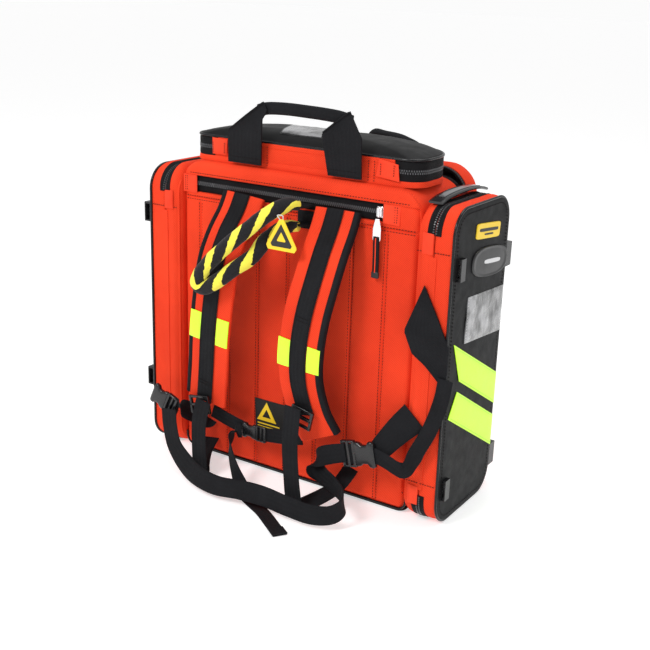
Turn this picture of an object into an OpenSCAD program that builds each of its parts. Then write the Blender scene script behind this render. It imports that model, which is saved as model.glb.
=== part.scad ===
// First-responder backpack: a main body with a fold-down front, a padded top box,
// two side pockets with doors, shoulder straps, a waist belt and a carry handle.
// +Z is up, -Y faces the wearer, +X is the right-hand pocket seen from the wearer's side.
// The origin is the centre of the main body on the ground.

/* [Main body] */
// Width between the two side pockets
body_w = 396; // [320:2:460]
// Height of the main body, without the top box
body_h = 459; // [400:1:520]
// Depth of the main compartment
tub_d = 122; // [90:1:170]
// Depth of the compartment in the front flap
flap_d = 64; // [30:1:90]
// Thickness of the padded fabric walls
wall = 4; // [2:0.5:6]
// Radius of the upper corners
top_r = 38; // [15:1:60]
// Radius of the lower corners
foot_r = 14; // [6:1:30]

/* [Side pockets] */
// How far a side pocket stands out from the body
pocket_t = 52; // [40:1:90]
// Depth of a side pocket, front to back
pocket_d = 166; // [120:2:200]
// Height of the top of a side pocket
pocket_h = 442; // [360:1:460]
// Corner radius of a side pocket
pocket_r = 34; // [15:1:50]

/* [Top box] */
// Width of the top box
box_w = 374; // [300:2:396]
// Depth of the top box
box_d = 118; // [90:1:122]
// Height of the top box's red and zipped walls
box_h = 32; // [25:1:60]
// Height of the padded lid
lid_h = 18; // [10:1:40]

/* [Harness] */
// Width of a shoulder pad
pad_w = 72; // [55:1:90]
// Thickness of a shoulder pad
pad_t = 11; // [8:1:18]
// Width of the shoulder webbing
web_w = 27; // [20:1:40]
// Width of the waist belt
belt_w = 32; // [25:1:50]
// Width of the sternum strap
chest_w = 22; // [18:1:30]
// Thickness of all webbing
web_t = 2; // [1.2:0.1:3]
// Thickness of the padded grab rope
rope_d = 26; // [16:1:32]

/* [Hidden] */
$fn = 48;
back_y = -64;                         // rear face of the tub, under the back panel
tub_y = back_y + tub_d;               // mouth of the main compartment
seam = 1;                             // gap along the front zip
flap_draw = 16;                       // how far the flap's face is drawn in
draw_d = 22;                          // depth over which it is drawn in
flap_y = tub_y + seam;                // rear edge of the flap
front_y = flap_y + flap_d;            // front face
base_t = 3.4;                         // reinforced base sheet
floor_z = 4;                          // underside of tub and flap
half_w = body_w / 2;
panel_t = 8;                          // quilted back panel
panel_y = back_y - panel_t;           // its outer face
zip_w = 8;                            // one half of a zip's tape
zip_lo = 412;                         // back zip window
zip_hi = 438;
zip_x0 = -178;
zip_x1 = 145;
pocket_x = half_w + 0.2;              // inner face of a side pocket
split_x = 224;                        // plane where a pocket door parts
outer_x = half_w + pocket_t;          // outer face of the red gusset
pocket_z = 2.6;                       // underside of a pocket
pocket_y = pocket_d / 2;
box_y0 = -62;
box_y1 = box_y0 + box_d;
box_near_r = 26;                      // corner radius of the top box beside the handle
box_far_r = 70;                       // and beside the front flap
box_z = body_h + 0.3;
box_zip_z = box_z + 8;
lid_z = box_z + box_h + 0.4;
tab_l = -146;                         // inner ends of the top box's zip
tab_r = 152;
seam_pitch = 52.4;                    // stitched channels of the back panel
seam_x0 = -166;
handle_y = -72;
handle_z = 463.5;
handle_lean = 8;
rope_r = rope_d / 2;
tag_y = -131;

// Routes: [x, y, z, face direction x, y, z], every face direction points off the wearer's side
left_pad_route = [
    [-82, -79, 412, 0, -1, 0.1], [-84, -88, 395, 0, -1, 0.5], [-88, -107, 366, 0, -1, 0.45],
    [-92, -122, 329, 0, -1, 0.25], [-97, -128, 274, 0, -1, 0.05], [-103, -128, 222, 0, -1, 0],
    [-110, -123, 168, 0, -1, -0.1], [-122, -113, 112, 0, -1, -0.15]];
right_pad_route = [
    [74, -79, 412, 0, -1, 0.1], [74, -88, 395, 0, -1, 0.5], [73, -105, 366, 0, -1, 0.45],
    [70, -120, 329, 0, -1, 0.25], [61, -127, 282, 0, -1, 0.05], [54, -128, 231, 0, -1, 0],
    [52, -123, 183, 0, -1, -0.1], [61, -114, 135, 0, -1, -0.15], [76, -106, 100, 0, -1, -0.1]];
left_lower_route = [
    [-110, -136, 118, 0, -1, 0], [-117, -138, 82, 0, -1, 0], [-114, -142, 40, 0, -1, 0],
    [-109, -146, 17, 0, -1, 0.1], [-112, -141, 7, 0, -0.2, -1], [-118, -132, 8, 0, 0.8, -1],
    [-134, -106, 18, 0, 0.5, -1], [-142, -78, 30, 0, 0.3, -1]];
right_lower_route = [
    [52, -141, 150, 0, -1, 0], [50, -143, 94, 0, -1, 0], [58, -150, 52, 0, -1, 0],
    [66, -156, 24, 0, -1, 0.1], [68, -152, 10, 0, -0.3, -1], [76, -143, 9, 0, 0.6, -1],
    [104, -108, 28, 0, 0.5, -1], [114, -80, 52, 0, 0.3, -1]];
waist_route = [
    [-171, -143, 92, 0, -1, 0], [-167, -145, 66, 0, -1, 0.1], [-155, -149, 38, 0, -1, 0.2],
    [-124, -160, 21, 0, -0.9, 0.5], [-88, -176, 18, 0, -0.8, 0.6], [-48, -184, 18, 0, -0.8, 0.6],
    [-8, -178, 20, 0, -0.8, 0.6], [30, -176, 21, 0, -0.9, 0.4], [72, -179, 20, 0, -1, 0.3],
    [110, -180, 20, 0, -1, 0.2], [138, -172, 24, 0.8, -1, 0.1], [147, -156, 32, 1, 0, 0.1],
    [136, -140, 39, 0.8, 1, 0.1], [112, -127, 44, 0.2, 1, 0], [90, -121, 50, -0.2, 1, 0],
    [76, -119, 60, -1, 0.3, 0], [86, -118, 76, -0.6, -1, 0], [112, -117, 88, 0, -1, 0]];
tail_route = [
    [-60, -109, 74, 0, -1, 0.2], [-68, -113, 72, -0.8, -0.8, 0], [-70, -122, 65, -1, -0.2, 0],
    [-62, -134, 52, -0.8, -0.7, 0.2], [-42, -148, 30, -0.5, -0.8, 0.4], [-16, -162, 11, -0.3, -0.5, 1],
    [8, -172, 2.6, 0, -0.1, 1], [36, -186, 2, 0, 0, 1], [66, -206, 2, 0, 0, 1], [92, -224, 2, 0, 0, 1]];
belt_tail_route = [
    [176, -112, 98, 0, -1, 0], [196, -110, 97, 0, -1, 0], [207, -105, 101, 0.8, -1, 0],
    [210, -100, 108, 1, 0, 0.1], [208, -98, 122, 0.4, -1, 0], [207, -98, 140, 0, -1, 0],
    [207, -96, 158, 0, -1, 0]];
rope_route = [
    [24, -96, 421, 0, -1, 0], [16, -108, 424, 0, -1, 0], [-2, -130, 412, 0, -1, 0],
    [-29, -145, 387, 0, -1, 0], [-57, -152, 362, 0, -1, 0], [-85, -154, 335, 0, -1, 0],
    [-104, -152, 312, 0, -1, 0], [-106, -151, 300, 0, -1, 0], [-95, -150, 297, 0, -1, 0],
    [-73, -149, 311, 0, -1, 0], [-48, -145, 331, 0, -1, 0], [-26, -132, 350, 0, -1, 0],
    [-14, -118, 372, 0, -1, 0], [4, -100, 389, 0, -1, 0], [24, -96, 393, 0, -1, 0]];

// ---------- curves ----------

function curve(a, b, c, d, t) = 0.5 * (2 * b + (c - a) * t + (2 * a - 5 * b + 4 * c - d) * t * t
    + (3 * b - a - 3 * c + d) * t * t * t);

// Points of a smooth curve through a route, n per span
function smooth(p, n) = [
    for (i = [0 : len(p) - 2])
        for (k = [0 : n - 1])
            curve(p[max(i - 1, 0)], p[i], p[i + 1], p[min(i + 2, len(p) - 1)], k / n),
    p[len(p) - 1]];

function place(q) = [q[0], q[1], q[2]];
function facing(q) = [q[3], q[4], q[5]];
function unit(v) = v / norm(v);

// Direction of travel, face direction and side direction at point i
function along(q, i) = unit(place(q[min(i + 1, len(q) - 1)]) - place(q[max(i - 1, 0)]));
function face_at(q, i) = let (t = along(q, i), f = facing(q[i])) unit(f - (f * t) * t);
function side_at(q, i) = cross(along(q, i), face_at(q, i));

// A closed solid swept along a route; profile points are [sideways, outwards]
module sweep(route, profile, n) {
    q = smooth(route, n);
    sides = len(profile);
    rings = len(q);
    points = [
        for (i = [0 : rings - 1])
            for (c = profile)
                place(q[i]) + c[0] * side_at(q, i) + c[1] * face_at(q, i)];
    walls = [
        for (i = [0 : rings - 2])
            for (k = [0 : sides - 1])
                let (a = i * sides + k, b = i * sides + (k + 1) % sides)
                    each [[a, b, a + sides], [b, b + sides, a + sides]]];
    start = [for (k = [sides - 1 : -1 : 0]) k];
    end = [for (k = [0 : sides - 1]) (rings - 1) * sides + k];
    polyhedron(points, concat(walls, [start, end]), convexity = 10);
}

function flat_profile(w, t) = [[-w / 2, -t / 2], [w / 2, -t / 2], [w / 2, t / 2], [-w / 2, t / 2]];
function pad_profile(w, t) = [
    [-w / 2 + 3, -t / 2], [w / 2 - 3, -t / 2], [w / 2, -t / 6], [w / 2, t / 6],
    [w / 2 - 3, t / 2], [-w / 2 + 3, t / 2], [-w / 2, t / 6], [-w / 2, -t / 6]];
function round_profile(r, sides) = [for (k = [0 : sides - 1]) r * [cos(360 * k / sides), sin(360 * k / sides)]];

// A route moved outwards along its face directions
function lifted(route, d) = [
    for (i = [0 : len(route) - 1])
        let (m = place(route[i]) + d * face_at(route, i), f = facing(route[i]))
            [m[0], m[1], m[2], f[0], f[1], f[2]]];

function part_of(route, from, to) = [for (i = [from : to]) route[i]];

// ---------- outlines ----------

// Rectangle with its own radius at the low and the high corners
module rounded(x0, y0, x1, y1, low_r, high_r) {
    translate([x0, y0 + low_r]) square([x1 - x0, y1 - y0 - low_r - high_r]);
    translate([x0 + low_r, y0]) square([x1 - x0 - 2 * low_r, low_r + 0.01]);
    translate([x0 + high_r, y1 - high_r - 0.01]) square([x1 - x0 - 2 * high_r, high_r + 0.01]);
    for (x = [x0 + low_r, x1 - low_r])
        translate([x, y0 + low_r]) circle(low_r);
    for (x = [x0 + high_r, x1 - high_r])
        intersection() {
            translate([x, y1 - high_r]) circle(high_r);
            translate([x0, y1 - high_r - 0.01]) square([x1 - x0, high_r + 1]);
        }
}

// Outline of the body seen from the wearer's side, moved inwards by inset
module body_outline(inset) {
    rounded(-half_w + inset, floor_z + inset, half_w - inset, body_h - inset,
        foot_r - inset * 0.5, top_r - inset * 0.5);
}

// Outline of the front flap; draw pulls in its sides and top but not its foot
module flap_outline(inset, draw = 0) {
    rounded(-half_w + 1 + inset + draw, floor_z + inset, half_w - 1 - inset - draw,
        body_h + 13 - inset - draw, foot_r - inset * 0.5, top_r + 4 - inset * 0.5);
}

// Outline of a side pocket seen from the side
module pocket_outline(inset) {
    rounded(-pocket_y + inset, pocket_z + inset, pocket_y - inset, pocket_h - inset,
        pocket_r - inset * 0.5, pocket_r - inset * 0.5);
}

// Outline of the top box seen from above
module box_outline(inset) {
    rounded(-box_w / 2 + inset, box_y0 + inset, box_w / 2 - inset, box_y1 - inset,
        box_near_r - inset * 0.7, box_far_r - inset);
}

// Extrudes an x-z outline from y0 to y1
module along_y(y0, y1) {
    translate([0, y1, 0]) rotate([90, 0, 0]) linear_extrude(y1 - y0) children();
}

// Extrudes a y-z outline from x0 to x1
module along_x(x0, x1) {
    translate([min(x0, x1), 0, 0]) rotate([90, 0, 90]) linear_extrude(abs(x1 - x0)) children();
}

module block(x0, y0, z0, x1, y1, z1) {
    translate([min(x0, x1), y0, z0]) cube([abs(x1 - x0), y1 - y0, z1 - z0]);
}

// ---------- main body ----------

module main_shell() color("orangered") {
    difference() {
        along_y(back_y, tub_y - zip_w) body_outline(0);
        along_y(back_y + wall, tub_y) body_outline(wall);
    }
}

module main_zip() color("black") {
    along_y(tub_y - zip_w, tub_y) difference() {
        body_outline(0);
        body_outline(wall);
    }
}

module back_panel() color("orangered") {
    difference() {
        along_y(panel_y, back_y) body_outline(0);
        block(zip_x0, panel_y - 1, zip_lo, zip_x1, back_y + 1, zip_hi);
        block(-half_w - 1, panel_y - 1, zip_hi, half_w + 1, back_y + 1, body_h + 1);
        for (i = [0 : 6])
            block(seam_x0 + i * seam_pitch - 1.5, panel_y - 1, 18, seam_x0 + i * seam_pitch + 1.5,
                panel_y + 1.2, zip_lo - 14);
    }
}

module top_band() color("orangered") {
    intersection() {
        along_y(panel_y - 2, back_y) body_outline(0);
        block(-half_w, panel_y - 3, zip_hi, half_w, back_y + 1, body_h);
    }
}

module back_zip() color("black") {
    block(zip_x0, panel_y + 3, zip_lo, zip_x1, back_y, zip_hi);
    block(zip_x0 + 2, panel_y + 1, 422, zip_x1 - 2, panel_y + 3, 428);
}

module back_zip_tabs() color("orangered") {
    for (x = [zip_x0 - 12, zip_x1 - 2])
        block(x, panel_y - 3, 412, x + 14 + (x > 0 ? 10 : 0), panel_y - 0.4, 436);
}

module back_slider() color("silver") {
    difference() {
        block(133, panel_y - 6, 417, 142, panel_y + 0.6, 433);
        block(132, panel_y - 3.5, 415, 143, panel_y - 2, 422);
    }
}

module back_puller() color("silver") {
    difference() {
        block(131.5, panel_y - 9, 385, 143.5, panel_y - 6.8, 416);
        block(135, panel_y - 10, 388, 140, panel_y - 5, 394);
    }
    block(133.5, panel_y - 10, 337, 141.5, panel_y - 6, 385);
}

module back_label() color("dimgray") {
    block(-62, panel_y - 1, 62, 2, panel_y, 114);
}

module base_panel() color("black") {
    linear_extrude(base_t) rounded(-half_w + 4, back_y - 4, half_w - 4, front_y - 2, 12, 12);
}

// ---------- front flap ----------

// Solid form of the flap between two planes, rounded off towards its face
module flap_form(y0, y1, inset) {
    along_y(y0, y1 - draw_d) flap_outline(inset);
    hull() {
        along_y(y1 - draw_d - 1, y1 - draw_d) flap_outline(inset);
        along_y(y1 - 1, y1) flap_outline(inset, flap_draw);
    }
}

module front_shell() color("orangered") {
    difference() {
        flap_form(flap_y + zip_w, front_y, 0);
        flap_form(flap_y, front_y - wall, wall);
    }
}

module front_zip() color("black") {
    along_y(flap_y, flap_y + zip_w) difference() {
        flap_outline(0);
        flap_outline(wall);
    }
}

module front_piping() color("black") {
    intersection() {
        along_y(front_y - 4, front_y - 1) difference() {
            flap_outline(0, flap_draw - 5.6);
            flap_outline(0, flap_draw - 3.2);
        }
        block(-half_w - 5, front_y - 8, 26, half_w + 5, front_y, body_h + 30);
    }
}

module front_hivis() color("greenyellow") {
    for (z = [120, 300])
        block(-170, front_y, z, 170, front_y + 1, z + 50);
}

module front_grab() color("black") {
    post_y = front_y - draw_d - 3;
    top = body_h + 11;
    sweep([
        [18, post_y, top + 3, 0, -1, 0], [18, post_y, top + 20, 0, -1, 0],
        [26, post_y, top + 31, 0, -1, 0], [44, post_y, top + 31, 0, -1, 0],
        [72, post_y, top + 27, 0, -1, 0], [90, post_y, top + 22, 0, -1, 0],
        [98, post_y, top + 14, 0, -1, 0], [98, post_y, top + 3, 0, -1, 0]],
        round_profile(7, 10), 3);
}

// ---------- top box ----------

module box_ring(z0, z1, t) {
    translate([0, 0, z0]) linear_extrude(z1 - z0) difference() {
        box_outline(0);
        box_outline(t);
    }
}

module box_near_side(z0, z1) {
    block(tab_l, box_y0 - 2, z0, tab_r, box_y0 + 8, z1);
}

module box_shell() color("orangered") {
    translate([0, 0, box_z]) linear_extrude(2) box_outline(3);
    box_ring(box_z, box_zip_z, 3);
    intersection() {
        box_ring(box_zip_z, box_z + box_h, 3);
        box_near_side(box_zip_z, box_z + box_h);
    }
}

module box_zip() color("black") {
    difference() {
        box_ring(box_zip_z, box_z + box_h, 3);
        box_near_side(box_zip_z - 1, box_z + box_h + 1);
    }
}

module box_tabs() color("orangered") {
    for (x = [tab_l - 2, tab_r - 26])
        block(x, box_y0 - 1.6, box_zip_z - 8, x + 28, box_y0, box_z + box_h - 1);
}

module lid_cover() color("black") {
    hull() {
        translate([0, 0, lid_z]) linear_extrude(5, $fn = 32) box_outline(1.2);
        translate([0, 0, lid_z + lid_h * 0.55]) linear_extrude(1, $fn = 32) box_outline(9);
        translate([0, 0, lid_z + lid_h - 1]) linear_extrude(1, $fn = 32) box_outline(27);
    }
}

module lid_piping() color("black") {
    translate([0, 0, lid_z + 1]) linear_extrude(4) difference() {
        box_outline(-1.5);
        box_outline(0.9);
        translate([tab_l, box_y0 - 3]) square([tab_r - tab_l, 10]);
    }
}

module lid_window() color("silver") {
    block(-66, -26, lid_z + lid_h, 8, 14, lid_z + lid_h + 1);
}

// ---------- side pockets, side = 1 on the right, -1 on the left ----------

module pocket_ring(side, x0, x1, out, t) {
    along_x(side * x0, side * x1) difference() {
        pocket_outline(-out);
        pocket_outline(t);
    }
}

module pocket(side) color("orangered") {
    along_x(side * pocket_x, side * (pocket_x + 2)) pocket_outline(0);
    pocket_ring(side, pocket_x + 2, split_x - 0.5, 0, 3);
}

module door(side) color("orangered") {
    pocket_ring(side, split_x + 0.5, outer_x, 0, 3);
}

module outer_panel(side) color("black") {
    along_x(side * outer_x, side * (outer_x + 3.5)) pocket_outline(0);
}

module piping(side) color("black") {
    pocket_ring(side, outer_x - 0.5, outer_x + 3, 2.4, -0.1);
}

// Zip tape over the top, front and bottom of a pocket; the wearer's side is the hinge
module pocket_tape(side, x0, x1) color("black") {
    difference() {
        pocket_ring(side, x0, x1, 1, -0.05);
        block(side * (x0 - 1), -pocket_y - 3, 50, side * (x1 + 1), -pocket_y + 3, 404);
    }
}

// Fabric tabs over the four ends of the pocket zips
module pocket_tabs() color("orangered") {
    for (side = [-1, 1], z = [30, 384])
        block(side * 209, -pocket_y - 3, z, side * 223, -pocket_y - 1.2, z + 26);
}

module hivis(side) color("greenyellow") {
    along_x(side * (outer_x + 3.5), side * (outer_x + 4.5)) {
        polygon([[-68, 264], [82, 182], [82, 134], [-44, 206]]);
        polygon([[-48, 192], [82, 116], [82, 68], [-70, 159]]);
    }
}

module right_badge() color("black") {
    x = outer_x + 3.5;
    along_x(x, x + 2.4) translate([28, 358]) rotate(-6) {
        square([64, 38], center = true);
        for (c = [-32, 32])
            translate([c, 0]) circle(19);
    }
    along_x(x, x + 1.6) translate([24, 402]) rotate(-6) square([76, 19], center = true);
}

module right_card_window() color("silver") {
    along_x(outer_x + 3.5, outer_x + 4.5) polygon([[-29, 319], [80, 311], [80, 246], [-33, 258]]);
}

// Webbing keepers: two on the panel's near edge, two on its far edge
module keepers(side) color("black") {
    for (z = [350, 40])
        difference() {
            block(side * (outer_x + 3.5), -73, z, side * (outer_x + 9.5), -60, z + 30);
            block(side * (outer_x + 5.3), -74, z + 5, side * (outer_x + 7.7), -59, z + 25);
        }
    for (z = [338, 32])
        difference() {
            block(side * (outer_x - 10), pocket_y + 2.6, z, side * (outer_x + 3), pocket_y + 20, z + 34);
            block(side * (outer_x - 6), pocket_y + 7, z - 1, side * (outer_x - 1), pocket_y + 15, z + 35);
        }
}

// The part of the compression wing, and of the strap below it, that moves with the right door
module right_side_strap() color("black") {
    along_y(-pocket_y - 5.5, -pocket_y - 2.6)
        polygon([[226, 324], [226, 237], [238, 225], [236, 160], [226, 124], [228, 100],
            [246, 150], [outer_x + 7, 196], [outer_x + 6, 264]]);
}

// The part of the compression wing that stays on the body
module right_wing() color("black") {
    along_y(-pocket_y - 5.5, -pocket_y - 2.6)
        polygon([[216, 340], [191, 276], [205, 247], [222, 237], [222, 330]]);
}

module right_pocket_loop() color("black") {
    z = pocket_h + 1.8;
    sweep([
        [213, -60, z + 3, 0, 0, 1], [213, -44, z + 7, 0, 0, 1], [213, -10, z + 9, 0, 0, 1],
        [213, 24, z + 9, 0, 0, 1], [213, 54, z + 7, 0, 0, 1], [213, 70, z + 3, 0, 0, 1]],
        flat_profile(20, 4), 3);
}

module right_pocket() pocket(1);
module left_pocket() pocket(-1);
module right_pocket_zip() pocket_tape(1, split_x - 10.5, split_x - 0.5);
module left_pocket_zip() pocket_tape(-1, split_x - 10.5, split_x - 0.5);
module right_door() door(1);
module left_door() door(-1);
module right_door_zip() pocket_tape(1, split_x + 0.5, split_x + 9);
module left_door_zip() pocket_tape(-1, split_x + 0.5, split_x + 9);
module right_panel() outer_panel(1);
module left_panel() outer_panel(-1);
module right_piping() piping(1);
module left_piping() piping(-1);
module right_hivis() hivis(1);
module left_hivis() hivis(-1);
module right_keepers() keepers(1);
module left_keepers() keepers(-1);

// ---------- handle, rope and tag ----------

module carry_handle() color("black") {
    translate([0, handle_y, handle_z]) rotate([handle_lean, 0, 0]) {
        along_y(-1.3, 1.3) {
            polygon([[-110, 0], [-56, 0], [-49, 66], [-42, 90], [-97, 61]]);
            polygon([[52, 0], [106, 0], [108, 66], [93, 90], [50, 68]]);
        }
        translate([0, 0, 80]) along_y(-3.5, 3.5) rounded(-52, -10, 88, 10, 3, 3);
    }
}

module grab_rope() color("black") {
    sweep(rope_route, round_profile(rope_r, 12), 3);
}

// Webbing stitched under the back zip, which holds both ends of the grab rope
module rope_anchor() color("black") {
    block(12, -81, 388, 36, panel_y - 0.4, 411);
}

module hanging_tag() color("gold") {
    along_y(tag_y - 1, tag_y + 1) difference() {
        polygon([[17, 409], [-3, 371], [0, 365], [42, 365], [45, 371], [23, 409]]);
        translate([20, 403]) circle(1.6);
    }
}

// ---------- shoulder straps ----------

module left_pad() color("orangered") sweep(left_pad_route, pad_profile(pad_w, pad_t), 3);
module right_pad() color("orangered") sweep(right_pad_route, pad_profile(pad_w, pad_t), 3);

module pad_web(route, last) {
    sweep(lifted(part_of(route, 1, last), pad_t / 2 + 1.8), flat_profile(web_w, web_t), 3);
}

module left_pad_web() color("black") pad_web(left_pad_route, 7);
module right_pad_web() color("black") pad_web(right_pad_route, 7);
module left_lower_web() color("black") sweep(left_lower_route, flat_profile(web_w, web_t), 3);
module right_lower_web() color("black") sweep(right_lower_route, flat_profile(web_w, web_t), 3);

// ---------- sternum strap and waist belt ----------

module sternum_strap() color("black") {
    sweep([[-118, -104, 90, 0, -1, 0], [-92, -102, 82, 0, -1, 0], [-64, -101, 74, 0, -1, 0]],
        flat_profile(chest_w, web_t), 3);
    block(-62, -106, 62, -22, -97, 86);
    sweep([[-20, -101, 74, 0, -1, 0], [6, -100, 78, 0, -1, 0], [34, -98, 84, 0, -1, 0]],
        flat_profile(chest_w, web_t), 3);
}

module sternum_tail() color("black") sweep(tail_route, flat_profile(chest_w, web_t), 3);
module waist_web() color("black") sweep(waist_route, flat_profile(belt_w, web_t), 3);

module left_belt_anchor() color("black") {
    sweep([[-148, -76, 60, 0, -1, 0], [-147, -88, 66, -0.9, -0.4, 0], [-149, -106, 78, -0.9, -0.4, 0],
        [-156, -126, 92, -0.8, -0.6, 0]], flat_profile(belt_w, web_t), 3);
}

module right_belt_anchor() color("black") {
    sweep([[212, -88, 156, 0, -1, 0], [196, -93, 138, 0, -1, 0], [180, -100, 118, 0, -1, 0]],
        flat_profile(belt_w + 6, web_t), 3);
}

module belt_buckles() color("black") {
    translate([144, -112, 94]) rotate([0, -12, 0]) cube([50, 9, 40], center = true);
    translate([-188, -134, 100]) rotate([0, 24, 0]) cube([46, 9, 36], center = true);
}

module right_belt_tail() color("black") sweep(belt_tail_route, flat_profile(belt_w - 8, web_t), 3);

main_shell();
main_zip();
back_panel();
top_band();
back_zip();
back_zip_tabs();
back_slider();
back_puller();
back_label();
base_panel();
front_shell();
front_zip();
front_piping();
front_hivis();
front_grab();
box_shell();
box_zip();
box_tabs();
lid_cover();
lid_piping();
lid_window();
pocket_tabs();
right_pocket();
right_pocket_zip();
right_door();
right_door_zip();
right_panel();
right_piping();
right_hivis();
right_badge();
right_card_window();
right_keepers();
right_side_strap();
right_wing();
right_pocket_loop();
left_pocket();
left_pocket_zip();
left_door();
left_door_zip();
left_panel();
left_piping();
left_hivis();
left_keepers();
carry_handle();
rope_anchor();
grab_rope();
hanging_tag();
left_pad();
right_pad();
left_pad_web();
right_pad_web();
left_lower_web();
right_lower_web();
sternum_strap();
sternum_tail();
waist_web();
left_belt_anchor();
right_belt_anchor();
belt_buckles();
right_belt_tail();
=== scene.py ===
"""Looks of the first-responder backpack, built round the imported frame. Lengths are in millimetres."""
import math

import bmesh
import bpy
import numpy as np
from mathutils import Matrix


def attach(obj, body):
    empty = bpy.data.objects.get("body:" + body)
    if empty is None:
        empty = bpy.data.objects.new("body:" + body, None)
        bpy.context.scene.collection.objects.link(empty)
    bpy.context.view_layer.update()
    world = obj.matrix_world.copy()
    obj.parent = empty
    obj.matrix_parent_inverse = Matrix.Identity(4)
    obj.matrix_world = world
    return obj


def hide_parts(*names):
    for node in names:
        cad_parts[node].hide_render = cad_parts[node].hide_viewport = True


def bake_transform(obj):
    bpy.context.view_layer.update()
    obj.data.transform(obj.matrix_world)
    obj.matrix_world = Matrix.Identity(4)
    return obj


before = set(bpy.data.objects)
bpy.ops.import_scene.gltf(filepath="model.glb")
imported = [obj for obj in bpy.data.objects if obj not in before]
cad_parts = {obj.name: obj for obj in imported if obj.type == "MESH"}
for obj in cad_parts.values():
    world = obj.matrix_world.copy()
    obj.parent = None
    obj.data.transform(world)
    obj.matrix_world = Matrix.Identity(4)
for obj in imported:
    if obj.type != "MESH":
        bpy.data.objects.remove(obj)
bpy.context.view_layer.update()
scene = bpy.context.scene
MM = 0.001
WEARER = (0, -1, 0)


# ---------- camera, lights and floor ----------

def link(ob):
    scene.collection.objects.link(ob)
    return ob


def make_camera():
    azimuth, elevation, roll = np.radians([32.22, 17.96, 1.88])
    back = np.array([math.sin(azimuth) * math.cos(elevation), -math.cos(azimuth) * math.cos(elevation),
        math.sin(elevation)])
    right = np.array([math.cos(azimuth), math.sin(azimuth), 0])
    up = np.cross(back, right)
    side = right * math.cos(roll) + up * math.sin(roll)
    top = -right * math.sin(roll) + up * math.cos(roll)
    place = np.array([0.0114, 0, 0.2251]) + back * 1.556
    data = bpy.data.cameras.new("camera")
    data.lens = 57.95
    data.sensor_width = 36
    ob = link(bpy.data.objects.new("camera", data))
    ob.matrix_world = Matrix([[side[i], top[i], back[i], place[i]] for i in range(3)] + [[0, 0, 0, 1]])
    scene.camera = ob


def area_light(name, place, target, size, power):
    data = bpy.data.lights.new(name, "AREA")
    data.shape = "DISK"
    data.size = size
    data.energy = power
    ob = link(bpy.data.objects.new(name, data))
    z = np.array(place, float) - np.array(target, float)
    z /= np.linalg.norm(z)
    x = np.cross([0, 0, 1], z)
    x /= np.linalg.norm(x)
    y = np.cross(z, x)
    ob.matrix_world = Matrix([[x[i], y[i], z[i], place[i]] for i in range(3)] + [[0, 0, 0, 1]])


def make_studio():
    world = bpy.data.worlds.new("studio")
    world.use_nodes = True
    tree = world.node_tree
    soft, shown = tree.nodes["Background"], tree.nodes.new("ShaderNodeBackground")
    for node, level in ((soft, 0.62), (shown, 0.97)):
        node.inputs["Color"].default_value = (1, 1, 1, 1)
        node.inputs["Strength"].default_value = level
    ray, mixed = tree.nodes.new("ShaderNodeLightPath"), tree.nodes.new("ShaderNodeMixShader")
    tree.links.new(ray.outputs["Is Camera Ray"], mixed.inputs[0])
    tree.links.new(soft.outputs[0], mixed.inputs[1])
    tree.links.new(shown.outputs[0], mixed.inputs[2])
    tree.links.new(mixed.outputs[0], tree.nodes["World Output"].inputs["Surface"])
    scene.world = world
    scene.view_settings.view_transform = "Standard"
    area_light("key", (-0.6, -2.0, 2.1), (0, 0, 0.25), 0.9, 40)
    area_light("fill", (2.3, -1.2, 0.9), (0.1, 0, 0.25), 1.2, 9)
    area_light("top", (0.3, 0.5, 2.4), (0, 0, 0.3), 1.4, 20)
    s = 30.0
    me = bpy.data.meshes.new("floor")
    me.from_pydata([(-s, -s, 0), (s, -s, 0), (s, s, 0), (-s, s, 0)], [], [(0, 1, 2, 3)])
    ob = link(bpy.data.objects.new("floor", me))
    mat = bpy.data.materials.new("floor")
    mat.use_nodes = True
    b = mat.node_tree.nodes["Principled BSDF"]
    b.inputs["Base Color"].default_value = (0.72, 0.72, 0.72, 1)
    b.inputs["Roughness"].default_value = 0.6
    b.inputs["Emission Color"].default_value = (1, 1, 1, 1)
    b.inputs["Emission Strength"].default_value = 0.5
    me.materials.append(mat)


make_camera()
make_studio()


# ---------- materials ----------

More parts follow.
